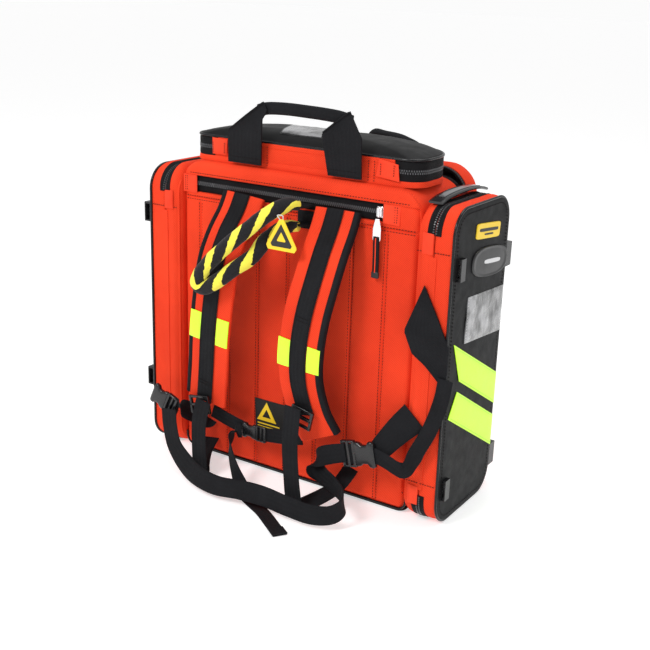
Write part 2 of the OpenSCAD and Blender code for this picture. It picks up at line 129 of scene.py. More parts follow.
class Graph:
    """A material's nodes, with short calls to add and join them."""

    def __init__(self, name, **constants):
        self.mat = bpy.data.materials.new(name)
        self.mat.use_nodes = True
        self.tree = self.mat.node_tree
        self.bsdf = self.tree.nodes["Principled BSDF"]
        for key, value in constants.items():
            self.bsdf.inputs[key.replace("_", " ")].default_value = value

    def node(self, kind, inputs=None, **settings):
        n = self.tree.nodes.new("ShaderNode" + kind)
        for key, value in settings.items():
            setattr(n, key, value)
        for key, value in (inputs or {}).items():
            self.put(n.inputs[key], value)
        return n

    def put(self, socket, value):
        if isinstance(value, bpy.types.NodeSocket):
            self.tree.links.new(value, socket)
        else:
            socket.default_value = value

    def math(self, op, a, b=0.0, clamp=False):
        return self.node("Math", {0: a, 1: b}, operation=op, use_clamp=clamp).outputs[0]

    def mix(self, factor, a, b):
        n = self.node("Mix", data_type="RGBA")
        self.put(n.inputs[0], factor)
        self.put(n.inputs[6], a)
        self.put(n.inputs[7], b)
        return n.outputs[2]

    def noise(self, scale, detail=3.0, where=None):
        n = self.node("TexNoise", {"Scale": scale, "Detail": detail, "Vector": where or self.place()})
        return n.outputs["Fac"]

    def place(self):
        return self.node("TexCoord").outputs["Object"]

    def sines(self, vector, period):
        """Sine of each component of a position in metres, with this period in millimetres."""
        k = 2 * math.pi / (period * MM)
        scaled = self.node("VectorMath", {0: vector, 1: (k, k, k)}, operation="MULTIPLY").outputs[0]
        wave = self.node("VectorMath", {0: scaled}, operation="SINE").outputs[0]
        return self.node("SeparateXYZ", {0: wave}).outputs

    def weave(self, period):
        """Height of a plain weave, -1 to 1, seen straight on from any of the three axes."""
        s = self.sines(self.place(), period)
        n = self.node("TexCoord").outputs["Normal"]
        square = self.node("SeparateXYZ", {0: self.node("VectorMath", {0: n, 1: n},
            operation="MULTIPLY").outputs[0]}).outputs
        parts = [self.math("MULTIPLY", self.math("MULTIPLY", s[i], s[j]), square[k]) for i, j,
            k in ((0, 2, 1), (1, 2, 0), (0, 1, 2))]
        return self.math("ADD", self.math("ADD", parts[0], parts[1]), parts[2])

    def ribs(self, along, across):
        """Height of woven tape, from its strip map: chevrons along it, ribs across it."""
        uv = self.node("SeparateXYZ", {0: self.node("UVMap", uv_map="strip").outputs[0]}).outputs
        zig = self.math("PINGPONG", uv[0], across * MM)
        k = 2 * math.pi / (along * MM)
        return self.math("SINE", self.math("MULTIPLY",
            self.math("ADD", uv[1], self.math("MULTIPLY", zig, 0.8)), k))

    def bump(self, height, distance, strength=1.0, under=None):
        n = self.node("Bump", {"Height": height, "Distance": distance * MM, "Strength": strength})
        if under is not None:
            self.put(n.inputs["Normal"], under)
        return n.outputs[0]

    def finish(self, color=None, normal=None, roughness=None):
        for key, value in (("Base Color", color), ("Normal", normal), ("Roughness", roughness)):
            if value is not None:
                self.put(self.bsdf.inputs[key], value)
        return self.mat


def rgb(r, g, b):
    return (r, g, b, 1)


def woven(name, color, dark, period=2.6, sheen=0.0, depth=0.3):
    g = Graph(name, Sheen_Weight=sheen, Sheen_Roughness=0.45, Specular_IOR_Level=0.12)
    w = g.weave(period)
    cloud = g.noise(9.0, 4.0)
    fine = g.noise(700.0, 2.0)
    shade = g.math("ADD", g.math("MULTIPLY", w, 0.5), g.math("MULTIPLY", cloud, 0.9))
    base = g.mix(g.math("ADD", shade, 0.1, clamp=True), dark, color)
    under = g.bump(g.noise(42.0, 3.0), 1.2, 0.35)
    rough = g.math("ADD", g.math("MULTIPLY", fine, 0.2), 0.62)
    return g.finish(base, g.bump(w, depth, 0.8, under), rough)


def webbing(name, color, dark, along=1.9, across=3.2, sheen=0.0, gloss=0.55):
    g = Graph(name, Sheen_Weight=sheen, Sheen_Roughness=0.4, Specular_IOR_Level=0.12)
    r = g.ribs(along, across)
    mask = g.math("ADD", g.math("MULTIPLY", r, 0.3), g.math("MULTIPLY", g.noise(30.0, 4.0), 0.9), clamp=True)
    return g.finish(g.mix(mask, dark, color), g.bump(r, 0.22, 0.7),
        g.math("ADD", g.math("MULTIPLY", g.noise(300.0), 0.25), gloss))


def coated(name, color, gloss, grain=0.12, crease=1.0):
    """Coated cloth: a fine leathery grain over soft creases, scuffed a little paler."""
    g = Graph(name, Specular_IOR_Level=0.14)
    cell = g.node("TexVoronoi", {"Scale": 900.0, "Vector": g.place()}).outputs["Distance"]
    scuff = g.math("MULTIPLY", g.math("POWER", g.noise(26.0, 6.0), 5.0), 0.9)
    pale = rgb(*[min(1, c * 2.2 + 0.008) for c in color[:3]])
    under = g.bump(g.noise(20.0, 3.0), 3.0, 0.3 * crease)
    rough = g.math("ADD", g.math("MULTIPLY", g.noise(70.0), 0.25), gloss)
    return g.finish(g.mix(scuff, color, pale), g.bump(cell, grain, 0.6, under), rough)


def plastic(name, color, gloss=0.28, specular=0.5):
    g = Graph(name, Specular_IOR_Level=specular)
    speck = g.noise(1500.0, 2.0)
    wear = g.math("MULTIPLY", g.math("POWER", g.noise(60.0, 5.0), 6.0), 0.8)
    pale = rgb(*[c * 2.0 + 0.01 for c in color[:3]])
    return g.finish(g.mix(wear, color, pale), g.bump(speck, 0.03, 0.5),
        g.math("ADD", g.math("MULTIPLY", g.noise(45.0), 0.2), gloss - 0.08))


def hivis(name):
    """Fluorescent reflective tape: a lattice of small prisms under a clear face. Its faint yellow-green
    emission is a painted glow that brightens it.
    """
    # Painted glow: an Emission Strength of 0.22 in yellow-green makes the tape give off light of its own.
    g = Graph(name, Specular_IOR_Level=0.5, Emission_Strength=0.22)
    g.bsdf.inputs["Emission Color"].default_value = rgb(0.45, 1.0, 0.0)
    s = g.sines(g.place(), 3.0)
    lattice = g.math("MULTIPLY", g.math("ADD", s[1], s[2]), g.math("SUBTRACT", s[1], s[2]))
    flat = g.math("MULTIPLY", g.math("ADD", s[0], s[2]), g.math("SUBTRACT", s[0], s[2]))
    height = g.math("ADD", lattice, flat)
    cloud = g.math("MULTIPLY", g.noise(24.0, 3.0), 0.9)
    base = g.mix(cloud, rgb(0.60, 1.0, 0.015), rgb(0.50, 0.84, 0.04))
    return g.finish(base, g.bump(height, 0.12, 0.5), g.math("ADD", g.math("MULTIPLY", g.noise(90.0), 0.15),
        0.24))


def film(name):
    """Clear crumpled film over a dark pocket, with painted reflections: pale grey where its crumple rises."""
    g = Graph(name, Specular_IOR_Level=0.8, Coat_Weight=0.6, Coat_Roughness=0.08)
    wide = g.noise(38.0, 5.0)
    # Painted reflections: colour runs from near black to pale grey, following the same noise that crumples
    # the film.
    patch = g.node("ValToRGB", {0: wide})
    patch.color_ramp.elements[0].position = 0.44
    patch.color_ramp.elements[0].color = (0.018, 0.018, 0.02, 1)
    patch.color_ramp.elements[1].position = 0.62
    patch.color_ramp.elements[1].color = (0.26, 0.26, 0.27, 1)
    return g.finish(patch.outputs[0], g.bump(wide, 4.0, 0.8), 0.16)


def metal(name, color):
    g = Graph(name, Metallic=1.0)
    return g.finish(g.mix(g.noise(160.0, 4.0), color, rgb(*[c * 0.8 for c in color[:3]])),
        g.bump(g.noise(900.0), 0.02, 0.4), g.math("ADD", g.math("MULTIPLY", g.noise(120.0), 0.15), 0.16))


def rope_cloth(name):
    """Fleecy black cloth with slanting yellow patches along it."""
    g = Graph(name, Sheen_Weight=0.12, Sheen_Roughness=0.5, Specular_IOR_Level=0.1)
    uv = g.node("SeparateXYZ", {0: g.node("UVMap", uv_map="strip").outputs[0]}).outputs
    fuzz = g.noise(420.0, 4.0)
    rag = g.math("MULTIPLY", g.noise(170.0, 3.0), 0.16)
    lean = g.math("MULTIPLY", g.math("SINE", g.math("MULTIPLY", g.math("SUBTRACT", uv[0], 0.25),
        2 * math.pi)), 0.26)
    turn = g.math("ADD", g.math("ADD", g.math("MULTIPLY", uv[1], 1 / 0.050), lean), g.math("ADD", uv[0], rag))
    share = g.math("FRACT", turn)
    band = g.math("MULTIPLY", g.math("GREATER_THAN", share, 0.54), g.math("LESS_THAN", share, 0.92))
    yellow = g.mix(fuzz, rgb(0.90, 0.82, 0.10), rgb(0.72, 0.66, 0.06))
    black = g.mix(fuzz, rgb(0.006, 0.006, 0.007), rgb(0.022, 0.022, 0.024))
    return g.finish(g.mix(band, black, yellow), g.bump(fuzz, 0.9, 0.8), 0.85)


def mesh_cloth(name):
    """Spacer mesh: a fine net of small holes."""
    g = Graph(name, Specular_IOR_Level=0.2, Sheen_Weight=0.1)
    cell = g.node("TexVoronoi", {"Scale": 420.0, "Vector": g.place()}).outputs["Distance"]
    return g.finish(g.mix(cell, rgb(0.006, 0.006, 0.007), rgb(0.05, 0.05, 0.055)), g.bump(cell, 0.6, 0.8),
        0.8)


RED = woven("red_cloth", rgb(0.97, 0.068, 0.020), rgb(0.50, 0.020, 0.006))
RED_TAB = webbing("red_tape", rgb(1.0, 0.085, 0.032), rgb(0.80, 0.04, 0.015), 1.2, 2.0, gloss=0.5)
LINING = woven("lining_cloth", rgb(0.30, 0.31, 0.33), rgb(0.20, 0.21, 0.22), 1.0)
BLACK = woven("black_cloth", rgb(0.016, 0.016, 0.018), rgb(0.006, 0.006, 0.007), 1.6)
WEB = webbing("black_webbing", rgb(0.014, 0.0145, 0.017), rgb(0.005, 0.005, 0.006))
TAPE = webbing("zip_tape", rgb(0.011, 0.011, 0.012), rgb(0.004, 0.004, 0.005), 0.9, 1.2, gloss=0.5)
TARP = coated("coated_cloth", rgb(0.0045, 0.0048, 0.0054), 0.42)
VINYL = coated("lid_vinyl", rgb(0.0045, 0.0045, 0.005), 0.36, 0.08, 0.8)
PIPING = plastic("piping_vinyl", rgb(0.005, 0.005, 0.006), 0.24, 0.3)
RUBBER = plastic("badge_rubber", rgb(0.010, 0.010, 0.011), 0.38)
PLASTIC = plastic("black_plastic", rgb(0.007, 0.007, 0.008), 0.24)
# The coil's dark grey base, lighter than the black tapes, is a painted highlight on the black teeth; its
# gloss adds real highlights too.
COIL = plastic("zip_coil", rgb(0.085, 0.085, 0.09), 0.22)
HIVIS = hivis("reflective_tape")
FILM = film("clear_film")
CHROME = metal("plated_metal", rgb(0.86, 0.86, 0.88))
ROPE = rope_cloth("rope_cloth")
SPACER = mesh_cloth("spacer_mesh")
YELLOW = plastic("yellow_card", rgb(0.86, 0.58, 0.015), 0.42)
INK = plastic("black_ink", rgb(0.012, 0.012, 0.012), 0.5)
CARD = webbing("label_cloth", rgb(0.035, 0.034, 0.032), rgb(0.02, 0.02, 0.02), 0.8, 1.0)
THREAD = woven("black_thread", rgb(0.018, 0.012, 0.012), rgb(0.010, 0.008, 0.008), 0.7)
WHITE_THREAD = woven("white_thread", rgb(0.8, 0.8, 0.78), rgb(0.6, 0.6, 0.58), 0.7)
COATED_BASE = coated("base_cloth", rgb(0.012, 0.012, 0.013), 0.5)


# ---------- mesh building ----------

def unit(v):
    v = np.asarray(v, float)
    return v / np.maximum(np.linalg.norm(v, axis=-1, keepdims=True), 1e-9)


def ripple(p, size, seed, octaves=3):
    """Smooth repeatable unevenness of about +-1 over points p, with lumps of this size."""
    r = np.random.RandomState(seed)
    out = np.zeros(p.shape[:-1])
    for o in range(octaves):
        for _ in range(4):
            d = unit(r.normal(size=3))
            turn = (p @ d) * (2 * np.pi * 2 ** o / size) * (0.7 + 0.6 * r.rand())
            out += 0.5 ** o * np.sin(turn + 6.28 * r.rand())
    return out / 4


def grid_faces(rows, cols, wrap_rows=False, wrap_cols=False, start=0):
    """Four-sided faces between neighbours in a grid of points."""
    i, j = np.meshgrid(np.arange(rows if wrap_rows else rows - 1),
        np.arange(cols if wrap_cols else cols - 1), indexing="ij")
    k, m = (i + 1) % rows, (j + 1) % cols
    quads = np.stack([i * cols + j, k * cols + j, k * cols + m, i * cols + m], -1).reshape(-1, 4)
    return (quads + start).tolist()


def piece(name, verts, faces, mat, body, uv=None, stands_for=(), finish=None, sharp=42, bevel=0.0,
    padding=None, blend=None):
    """A finished piece: its mesh, material, body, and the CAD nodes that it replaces."""
    me = bpy.data.meshes.new(name)
    me.from_pydata((np.asarray(verts, float) * MM).tolist(), [], faces)
    if uv is not None:
        layer = me.uv_layers.new(name="strip")
        at = np.zeros(len(me.loops), np.int32)
        me.loops.foreach_get("vertex_index", at)
        layer.data.foreach_set("uv", (np.asarray(uv, float)[at] * MM).astype(np.float32).ravel())
    bm = bmesh.new()
    bm.from_mesh(me)
    bmesh.ops.recalc_face_normals(bm, faces=bm.faces)
    bm.to_mesh(me)
    bm.free()
    me.polygons.foreach_set("use_smooth", [True] * len(me.polygons))
    me.set_sharp_from_angle(angle=math.radians(sharp))
    me.materials.append(mat)
    ob = link(bpy.data.objects.new(name, me))
    if bevel:
        m = ob.modifiers.new("edges", "BEVEL")
        m.width = bevel * MM
        m.segments = 2
        m.limit_method = "ANGLE"
        m.angle_limit = math.radians(35)
    if blend:
        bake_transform(ob)
    else:
        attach(ob, body)
    if stands_for:
        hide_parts(*stands_for)
    return ob


def outline(x0, y0, x1, y1, low, high, step=7.0, turn=9):
    """Rounded rectangle from the middle of its low side, anticlockwise: points and outward normals."""
    pts, nrm = [], []

    def straight(a, b, n):
        a, b = np.array(a, float), np.array(b, float)
        count = max(2, int(round(np.linalg.norm(b - a) / step)))
        for k in range(count):
            pts.append(a + (b - a) * k / count)
            nrm.append(n)

    def corner(cx, cy, r, start):
        for k in range(turn):
            a = math.radians(start + 90 * k / turn)
            pts.append([cx + r * math.cos(a), cy + r * math.sin(a)])
            nrm.append([math.cos(a), math.sin(a)])

    middle = (x0 + x1) / 2
    straight((middle, y0), (x1 - low, y0), (0, -1))
    corner(x1 - low, y0 + low, low, -90)
    straight((x1, y0 + low), (x1, y1 - high), (1, 0))
    corner(x1 - high, y1 - high, high, 0)
    straight((x1 - high, y1), (x0 + high, y1), (0, 1))
    corner(x0 + high, y1 - high, high, 90)
    straight((x0, y1 - high), (x0, y0 + low), (-1, 0))
    corner(x0 + low, y0 + low, low, 180)
    straight((x0 + low, y0), (middle, y0), (0, -1))
    return np.array(pts), np.array(nrm, float)


def open_arc(ring, keep):
    """The part of a closed outline whose points satisfy keep, in order."""
    p, n = ring
    ok = keep(p)
    start = next(i for i in range(len(p)) if ok[i] and not ok[i - 1])
    order = [(start + k) % len(p) for k in range(len(p)) if ok[(start + k) % len(p)]]
    return p[order], n[order]


AXES = {"x": (1, 2, 0), "y": (0, 2, 1), "z": (0, 1, 2)}


def to_space(flat, level, axis):
    a, b, c = AXES[axis]
    out = np.zeros(flat.shape[:-1] + (3,))
    out[..., a], out[..., b], out[..., c] = flat[..., 0], flat[..., 1], level
    return out


def loft(name, ring, stations, axis, mat, body, tube=False, arc=False, shape=None, **more):
    """Rings of an outline along an axis. A station is (level, outward offset, scale about the middle)."""
    p, n = ring
    st = np.array([(s[0], s[1], s[2] if len(s) > 2 else 1.0) for s in stations], float)
    middle = (p.max(0) + p.min(0)) / 2
    flat = middle + (p[None] + n[None] * st[:, 1, None, None] - middle) * st[:, 2, None, None]
    space = to_space(flat, st[:, 0, None], axis)
    normal = to_space(n, np.zeros(len(n)), axis)
    if shape:
        space = shape(space, normal, st)
    rows, cols = space.shape[:2]
    faces = grid_faces(rows, cols, wrap_rows=tube or arc, wrap_cols=not arc)
    if arc:
        faces += [[r * cols for r in range(rows)], [r * cols + cols - 1 for r in range(rows)]]
    elif not tube:
        faces += [list(range(cols)), [(rows - 1) * cols + k for k in range(cols)]]
    run = lengths(p)
    rise = lengths(st[:, :2])
    uv = np.stack(np.meshgrid(rise, run, indexing="ij"), -1).reshape(-1, 2)
    return piece(name, space.reshape(-1, 3), faces, mat, body, uv=uv, **more)


def slab(name, top, bottom, mat, body, **more):
    """A closed sheet between two equal grids of points."""
    rows, cols = top.shape[:2]
    count = rows * cols
    faces = grid_faces(rows, cols) + [f[::-1] for f in grid_faces(rows, cols, start=count)]
    rim = ([(0, k) for k in range(cols)] + [(k, cols - 1) for k in range(1, rows)]
        + [(rows - 1, k) for k in range(cols - 2, -1, -1)] + [(k, 0) for k in range(rows - 2, 0, -1)])
    rim = [r * cols + c for r, c in rim]
    faces += [[a, b, b + count, a + count] for a, b in zip(rim, rim[1:] + rim[:1])]
    u = lengths(top[rows // 2])
    v = lengths(top[:, cols // 2])
    uv = np.stack([np.tile(u, rows), np.repeat(v, cols)], -1)
    return piece(name, np.concatenate([top.reshape(-1, 3), bottom.reshape(-1, 3)]), faces, mat, body,
        uv=np.concatenate([uv, uv]), **more)


def lengths(p):
    """Distance along points p, from the first."""
    return np.concatenate([[0], np.cumsum(np.linalg.norm(np.diff(p, axis=0), axis=-1))])


def strap_route(route, n):
    """A smoothed strap route. A point is x, y, z and, unless it faces the wearer, the direction it faces."""
    return spline([list(p) + ([] if len(p) == 6 else list(WEARER)) for p in route], n)


def spline(points, n):
    p = np.array(points, float)
    out = []
    for i in range(len(p) - 1):
        a, b, c, d = p[max(i - 1, 0)], p[i], p[i + 1], p[min(i + 2, len(p) - 1)]
        for t in np.arange(n) / n:
            out.append(0.5 * (2 * b + (c - a) * t + (2 * a - 5 * b + 4 * c - d) * t * t
                + (3 * b - a - 3 * c + d) * t ** 3))
    return np.array(out + [p[-1]])


def frames(q):
    """Places, travel, face and side directions along a smoothed route."""
    p = q[:, :3]
    t = unit(np.concatenate([p[1:2] - p[:1], p[2:] - p[:-2], p[-1:] - p[-2:-1]]))
    f = q[:, 3:]
    f = unit(f - (f * t).sum(1, keepdims=True) * t)
    return p, t, f, np.cross(t, f)


def sweep(name, q, profile, mat, body, **more):
    """A closed solid along a route; profile is [sideways, outwards] points, one set or one per ring."""
    p, t, f, s = frames(q)
    prof = np.broadcast_to(np.asarray(profile, float), (len(q),) + np.shape(profile)[-2:])
    space = p[:, None] + prof[..., :1] * s[:, None] + prof[..., 1:] * f[:, None]
    rows, cols = space.shape[:2]
    faces = grid_faces(rows, cols, wrap_cols=True) + [list(range(cols)),
        [(rows - 1) * cols + k for k in range(cols)]]
    run = lengths(p)
    uv = np.stack([prof[..., 0], np.repeat(run[:, None], cols, 1)], -1).reshape(-1, 2)
    return piece(name, space.reshape(-1, 3), faces, mat, body, uv=uv, **more)


def strip(w, t=1.8, lift=0.0, curl=0.0, cells=6):
    """Section of flat webbing with rounded edges; curl lifts its edges."""
    x = np.linspace(-w / 2 + 0.4 * t, w / 2 - 0.4 * t, cells + 1)
    rise = curl * (2 * x / w) ** 2 + lift
    top = np.stack([x, rise + t / 2], 1)
    low = np.stack([x[::-1], rise[::-1] - t / 2], 1)
    end = curl + lift
    return np.concatenate([top, [[w / 2, end]], low, [[-w / 2, end]]])


def oval(a, b, sides=20, power=1.0, shift=(0, 0)):
    k = np.arange(sides) * 2 * np.pi / sides
    c, s = np.cos(k), np.sin(k)
    return np.stack([shift[0] + a * np.sign(c) * abs(c) ** power,
        shift[1] + b * np.sign(s) * abs(s) ** power], 1)


def tube(name, path, radius, mat, body, closed=False, sides=10, up=(0, 0, 1), **more):
    """A round cord along points; radius is one number or one per point."""
    p = np.array(path, float)
    if closed:
        t = unit(np.roll(p, -1, 0) - np.roll(p, 1, 0))
    else:
        t = unit(np.concatenate([p[1:2] - p[:1], p[2:] - p[:-2], p[-1:] - p[-2:-1]]))
    f = np.zeros_like(p)
    f[0] = unit(np.cross(t[0], up))
    for i in range(1, len(p)):
        f[i] = unit(f[i - 1] - (f[i - 1] @ t[i]) * t[i])
    g = np.cross(t, f)
    a = np.arange(sides) * 2 * np.pi / sides
    r = np.broadcast_to(np.asarray(radius, float), (len(p),))
    ring = np.cos(a)[None, :, None] * f[:, None] + np.sin(a)[None, :, None] * g[:, None]
    space = p[:, None] + r[:, None, None] * ring
    faces = grid_faces(len(p), sides, wrap_rows=closed, wrap_cols=True)
    if not closed:
        faces += [list(range(sides)), [(len(p) - 1) * sides + k for k in range(sides)]]
    run = lengths(p)
    uv = np.stack([np.tile(a * 1000 / (2 * np.pi), len(p)), np.repeat(run, sides)], 1)
    return piece(name, space.reshape(-1, 3), faces, mat, body, uv=uv, **more)


def points(x, y, z):
    """Points from three coordinates, some of which are the same all along."""
    return np.stack(np.broadcast_arrays(x, y, z), -1)


def resample(path, pitch, phase=0.0):
    """Points every pitch along a path, and the directions there."""
    p = np.asarray(path, float)
    run = lengths(p)
    at = np.arange(pitch * (0.5 + phase), run[-1], pitch)
    q = np.stack([np.interp(at, run, p[:, k]) for k in range(3)], 1)
    ahead = np.stack([np.interp(np.minimum(at + 0.5, run[-1]), run, p[:, k]) for k in range(3)], 1)
    behind = np.stack([np.interp(np.maximum(at - 0.5, 0), run, p[:, k]) for k in range(3)], 1)
    return q, unit(ahead - behind), at, run


gathered = {}


def gather(key, verts, faces):
    """Collects small repeated shapes, so that each body gets one piece of each kind."""
    old = gathered.setdefault(key, ([], [], [0]))
    base = old[2][0]
    old[0].append(verts)
    old[1].extend((np.asarray(faces) + base).tolist())
    old[2][0] += len(verts)


STITCH_FACES = [[0, 2, 1], [0, 3, 2], [0, 4, 3], [0, 1, 4], [5, 1, 2], [5, 2, 3], [5, 3, 4], [5, 4, 1]]
BLOCK_FACES = [[0, 1, 2, 3], [4, 7, 6, 5], [0, 4, 5, 1], [1, 5, 6, 2], [2, 6, 7, 3], [3, 7, 4, 0]]


def repeat(faces, each, count):
    return (np.asarray(faces)[None] + (np.arange(count) * each)[:, None, None]).reshape(-1, len(faces[0]))


def sew(body, path, normal=WEARER, mat=None, pitch=4.4, long=3.5, thick=0.75):
    """A row of stitches along a path that lies on a surface with this outward normal."""
    q, t, at, run = resample(path, pitch)
    if not len(q):
        return
    n = np.broadcast_to(np.asarray(normal, float), (len(path),
        3)) if np.ndim(normal) == 1 else np.asarray(normal)
    n = unit(np.stack([np.interp(at, run, n[:, k]) for k in range(3)], 1))
    s = unit(np.cross(t, n))
    q = q + n * 0.15
    v = np.stack([q - t * long / 2, q + s * thick, q + n * thick, q - s * thick, q - n * thick,
        q + t * long / 2], 1)
    gather((body, mat or THREAD, "stitches"), v.reshape(-1, 3), repeat(STITCH_FACES, 6, len(q)))


def teeth(body, path, across, up, width=2.6, pitch=3.2, phase=0.0, high=1.3, long=1.7):
    """Zip teeth along a path: tapered blocks that lie across it."""
    q, t, at, run = resample(path, pitch, phase)
    a = np.broadcast_to(np.asarray(across, float), (len(path), 3))
    u = np.broadcast_to(np.asarray(up, float), (len(path), 3))
    a = unit(np.stack([np.interp(at, run, a[:, k]) for k in range(3)], 1))
    u = unit(np.stack([np.interp(at, run, u[:, k]) for k in range(3)], 1))
    corners = []
    for lift, k in ((-0.4, 1.0), (high, 0.7)):
        for i, j in ((-1, -1), (1, -1), (1, 1), (-1, 1)):
            corners.append(q + t * i * long / 2 * k + a * j * width / 2 * k + u * lift)
    gather((body, COIL, "teeth"), np.stack(corners, 1).reshape(-1, 3), repeat(BLOCK_FACES, 8, len(q)))


def sew_up():
    """Makes the gathered stitches and teeth into pieces."""
    for (body, mat, kind), (verts, faces, _) in gathered.items():
        piece(f"{kind}_{mat.name}_{body}", np.concatenate(verts), faces, mat, body, sharp=60)


def plate(name, corners, thick, place, mat, body, rows=12, cols=8, **more):
    """A flat shape from its outline, filled in rows from its lowest to its highest point."""
    c = np.array(corners, float)
    low, high = c[:, 1].min(), c[:, 1].max()
    a, b = c, np.roll(c, -1, 0)
    grid = np.zeros((rows + 1, cols + 1, 2))
    for i, level in enumerate(np.linspace(low + 1e-3, high - 1e-3, rows + 1)):
        cross = [p[0] + (q[0] - p[0]) * (level - p[1]) / (q[1] - p[1]) for p,
            q in zip(a, b) if (p[1] - level) * (q[1] - level) < 0]
        grid[i, :, 0] = np.linspace(min(cross), max(cross), cols + 1)
        grid[i, :, 1] = level
    return slab(name, place(grid, thick), place(grid, 0.0), mat, body, **more)


def between_corners(corners, cols, rows):
    """Shares across and up, and the grid of points that they mix from four corners."""
    c = np.array(corners, float)
    u, v = np.meshgrid(np.linspace(0, 1, cols), np.linspace(0, 1, rows))
    u, v = u[..., None], v[..., None]
    return u, v, (1 - v) * ((1 - u) * c[0] + u * c[1]) + v * ((1 - u) * c[3] + u * c[2])


def quad(name, corners, thick, mat, body, out=WEARER, rows=6, cols=16, sag=0.0, **more):
    """A thin patch between its low left, low right, high right and high left corners, facing out."""
    u, v, flat = between_corners(corners, cols + 1, rows + 1)
    n = np.array(out, float)
    wave = sag * (np.sin(np.pi * u) * np.sin(np.pi * v))
    edge = np.minimum(np.minimum(u, 1 - u) * cols, np.minimum(v, 1 - v) * rows)
    rise = thick * np.clip(0.55 + 0.45 * edge, 0, 1)
    return slab(name, flat + n * (rise + wave), flat, mat, body, **more)


def bars(name, list_of_bars, mat, body, turn=np.eye(3), at=(0, 0, 0), bevel=0.7, **more):
    """A moulded part made of joined bars, each (centre, size), turned and put in place."""
    verts, faces = [], []
    for k, (c, s) in enumerate(list_of_bars):
        box = np.array([[x, y, z] for z in (-1, 1) for x, y in ((-1, -1), (1, -1), (1, 1), (-1, 1))],
            float) * np.array(s) / 2
        verts.append((box + np.array(c, float)) @ np.asarray(turn).T + np.array(at, float))
        faces += [[i + 8 * k for i in f] for f in BLOCK_FACES]
    return piece(name, np.concatenate(verts), faces, mat, body, bevel=bevel, sharp=35, **more)


def rotation(axis, degrees):
    return np.array(Matrix.Rotation(math.radians(degrees), 3, axis))


# ---------- main body ----------

HALF_W, BODY_H = 198, 459
BODY = outline(-HALF_W, 4, HALF_W, BODY_H, 14, 38)
FLAP = outline(-197, 4, 197, 472, 14, 42)


def crumple(amount, size, seed):
    """Shape function for a loft: soft unevenness on its walls."""
    def shape(space, normal, st):
        full = (st[:, 2] > 0.99)[:, None]
        lumps = ripple(space, size, seed)
        return space + normal[None] * (amount * lumps * full)[..., None]
    return shape


loft("body_shell", BODY, [(-64.3, -9), (-66.2, -6), (-67.6, -4), (-67.4, -2.2), (-65.4, -0.7), (-60, 0),
    (-40, 0.2), (-15, 0.4), (15, 0.4), (35, 0.2), (46, 0), (49.5, -0.4), (50, -1.5), (50, -3.2), (45, -4),
    (0, -4), (-50, -4), (-60, -4.5), (-60, -7)], "y", RED, "bag", shape=crumple(0.5, 90, 3),
    stands_for=["main_shell"])
loft("body_lining", BODY, [(48, -4.1), (48, -4.8), (0, -4.8), (-55, -4.8), (-59.8, -6), (-59.2, -6, 0.9),
    (-59.2, -6, 0.5), (-59.2, -6, 0.001), (-59.9, -6, 0.001), (-59.9, -6, 0.9), (-59.9, -5), (-55, -4.1),
    (0, -4.1)], "y", LINING, "bag", tube=True)

CHANNELS = [-166 + 52.4 * i for i in range(7)]


def far_from(p, a, b):
    """Distance of flat points p from the line from a to b."""
    a, b = np.array(a, float), np.array(b, float)
    t = np.clip(((p - a) @ (b - a)) / ((b - a) @ (b - a)), 0, 1)
    return np.linalg.norm(p - (a + t[..., None] * (b - a)), axis=-1)


def row_width(z, inset, low_r, high_r, z0=4.0, z1=459.0):
    """Half width of the body outline at a height, moved in by inset."""
    w = HALF_W - inset
    lo, hi = z0 + low_r, z1 - high_r
    if z < lo:
        return HALF_W - low_r + math.sqrt(max((low_r - inset) ** 2 - (lo - z) ** 2, 1))
    if z > hi:
        return HALF_W - high_r + math.sqrt(max((high_r - inset) ** 2 - (z - hi) ** 2, 1))
    return w


SEAMS = ([((x, 9), (x, 397)) for x in CHANNELS] + [((-196, 403), (196, 403))]
    + [((-164, 63), (-197, 26)), ((164, 63), (197, 26)), ((-197, 64), (-164, 63)), ((164, 63), (197, 64))])


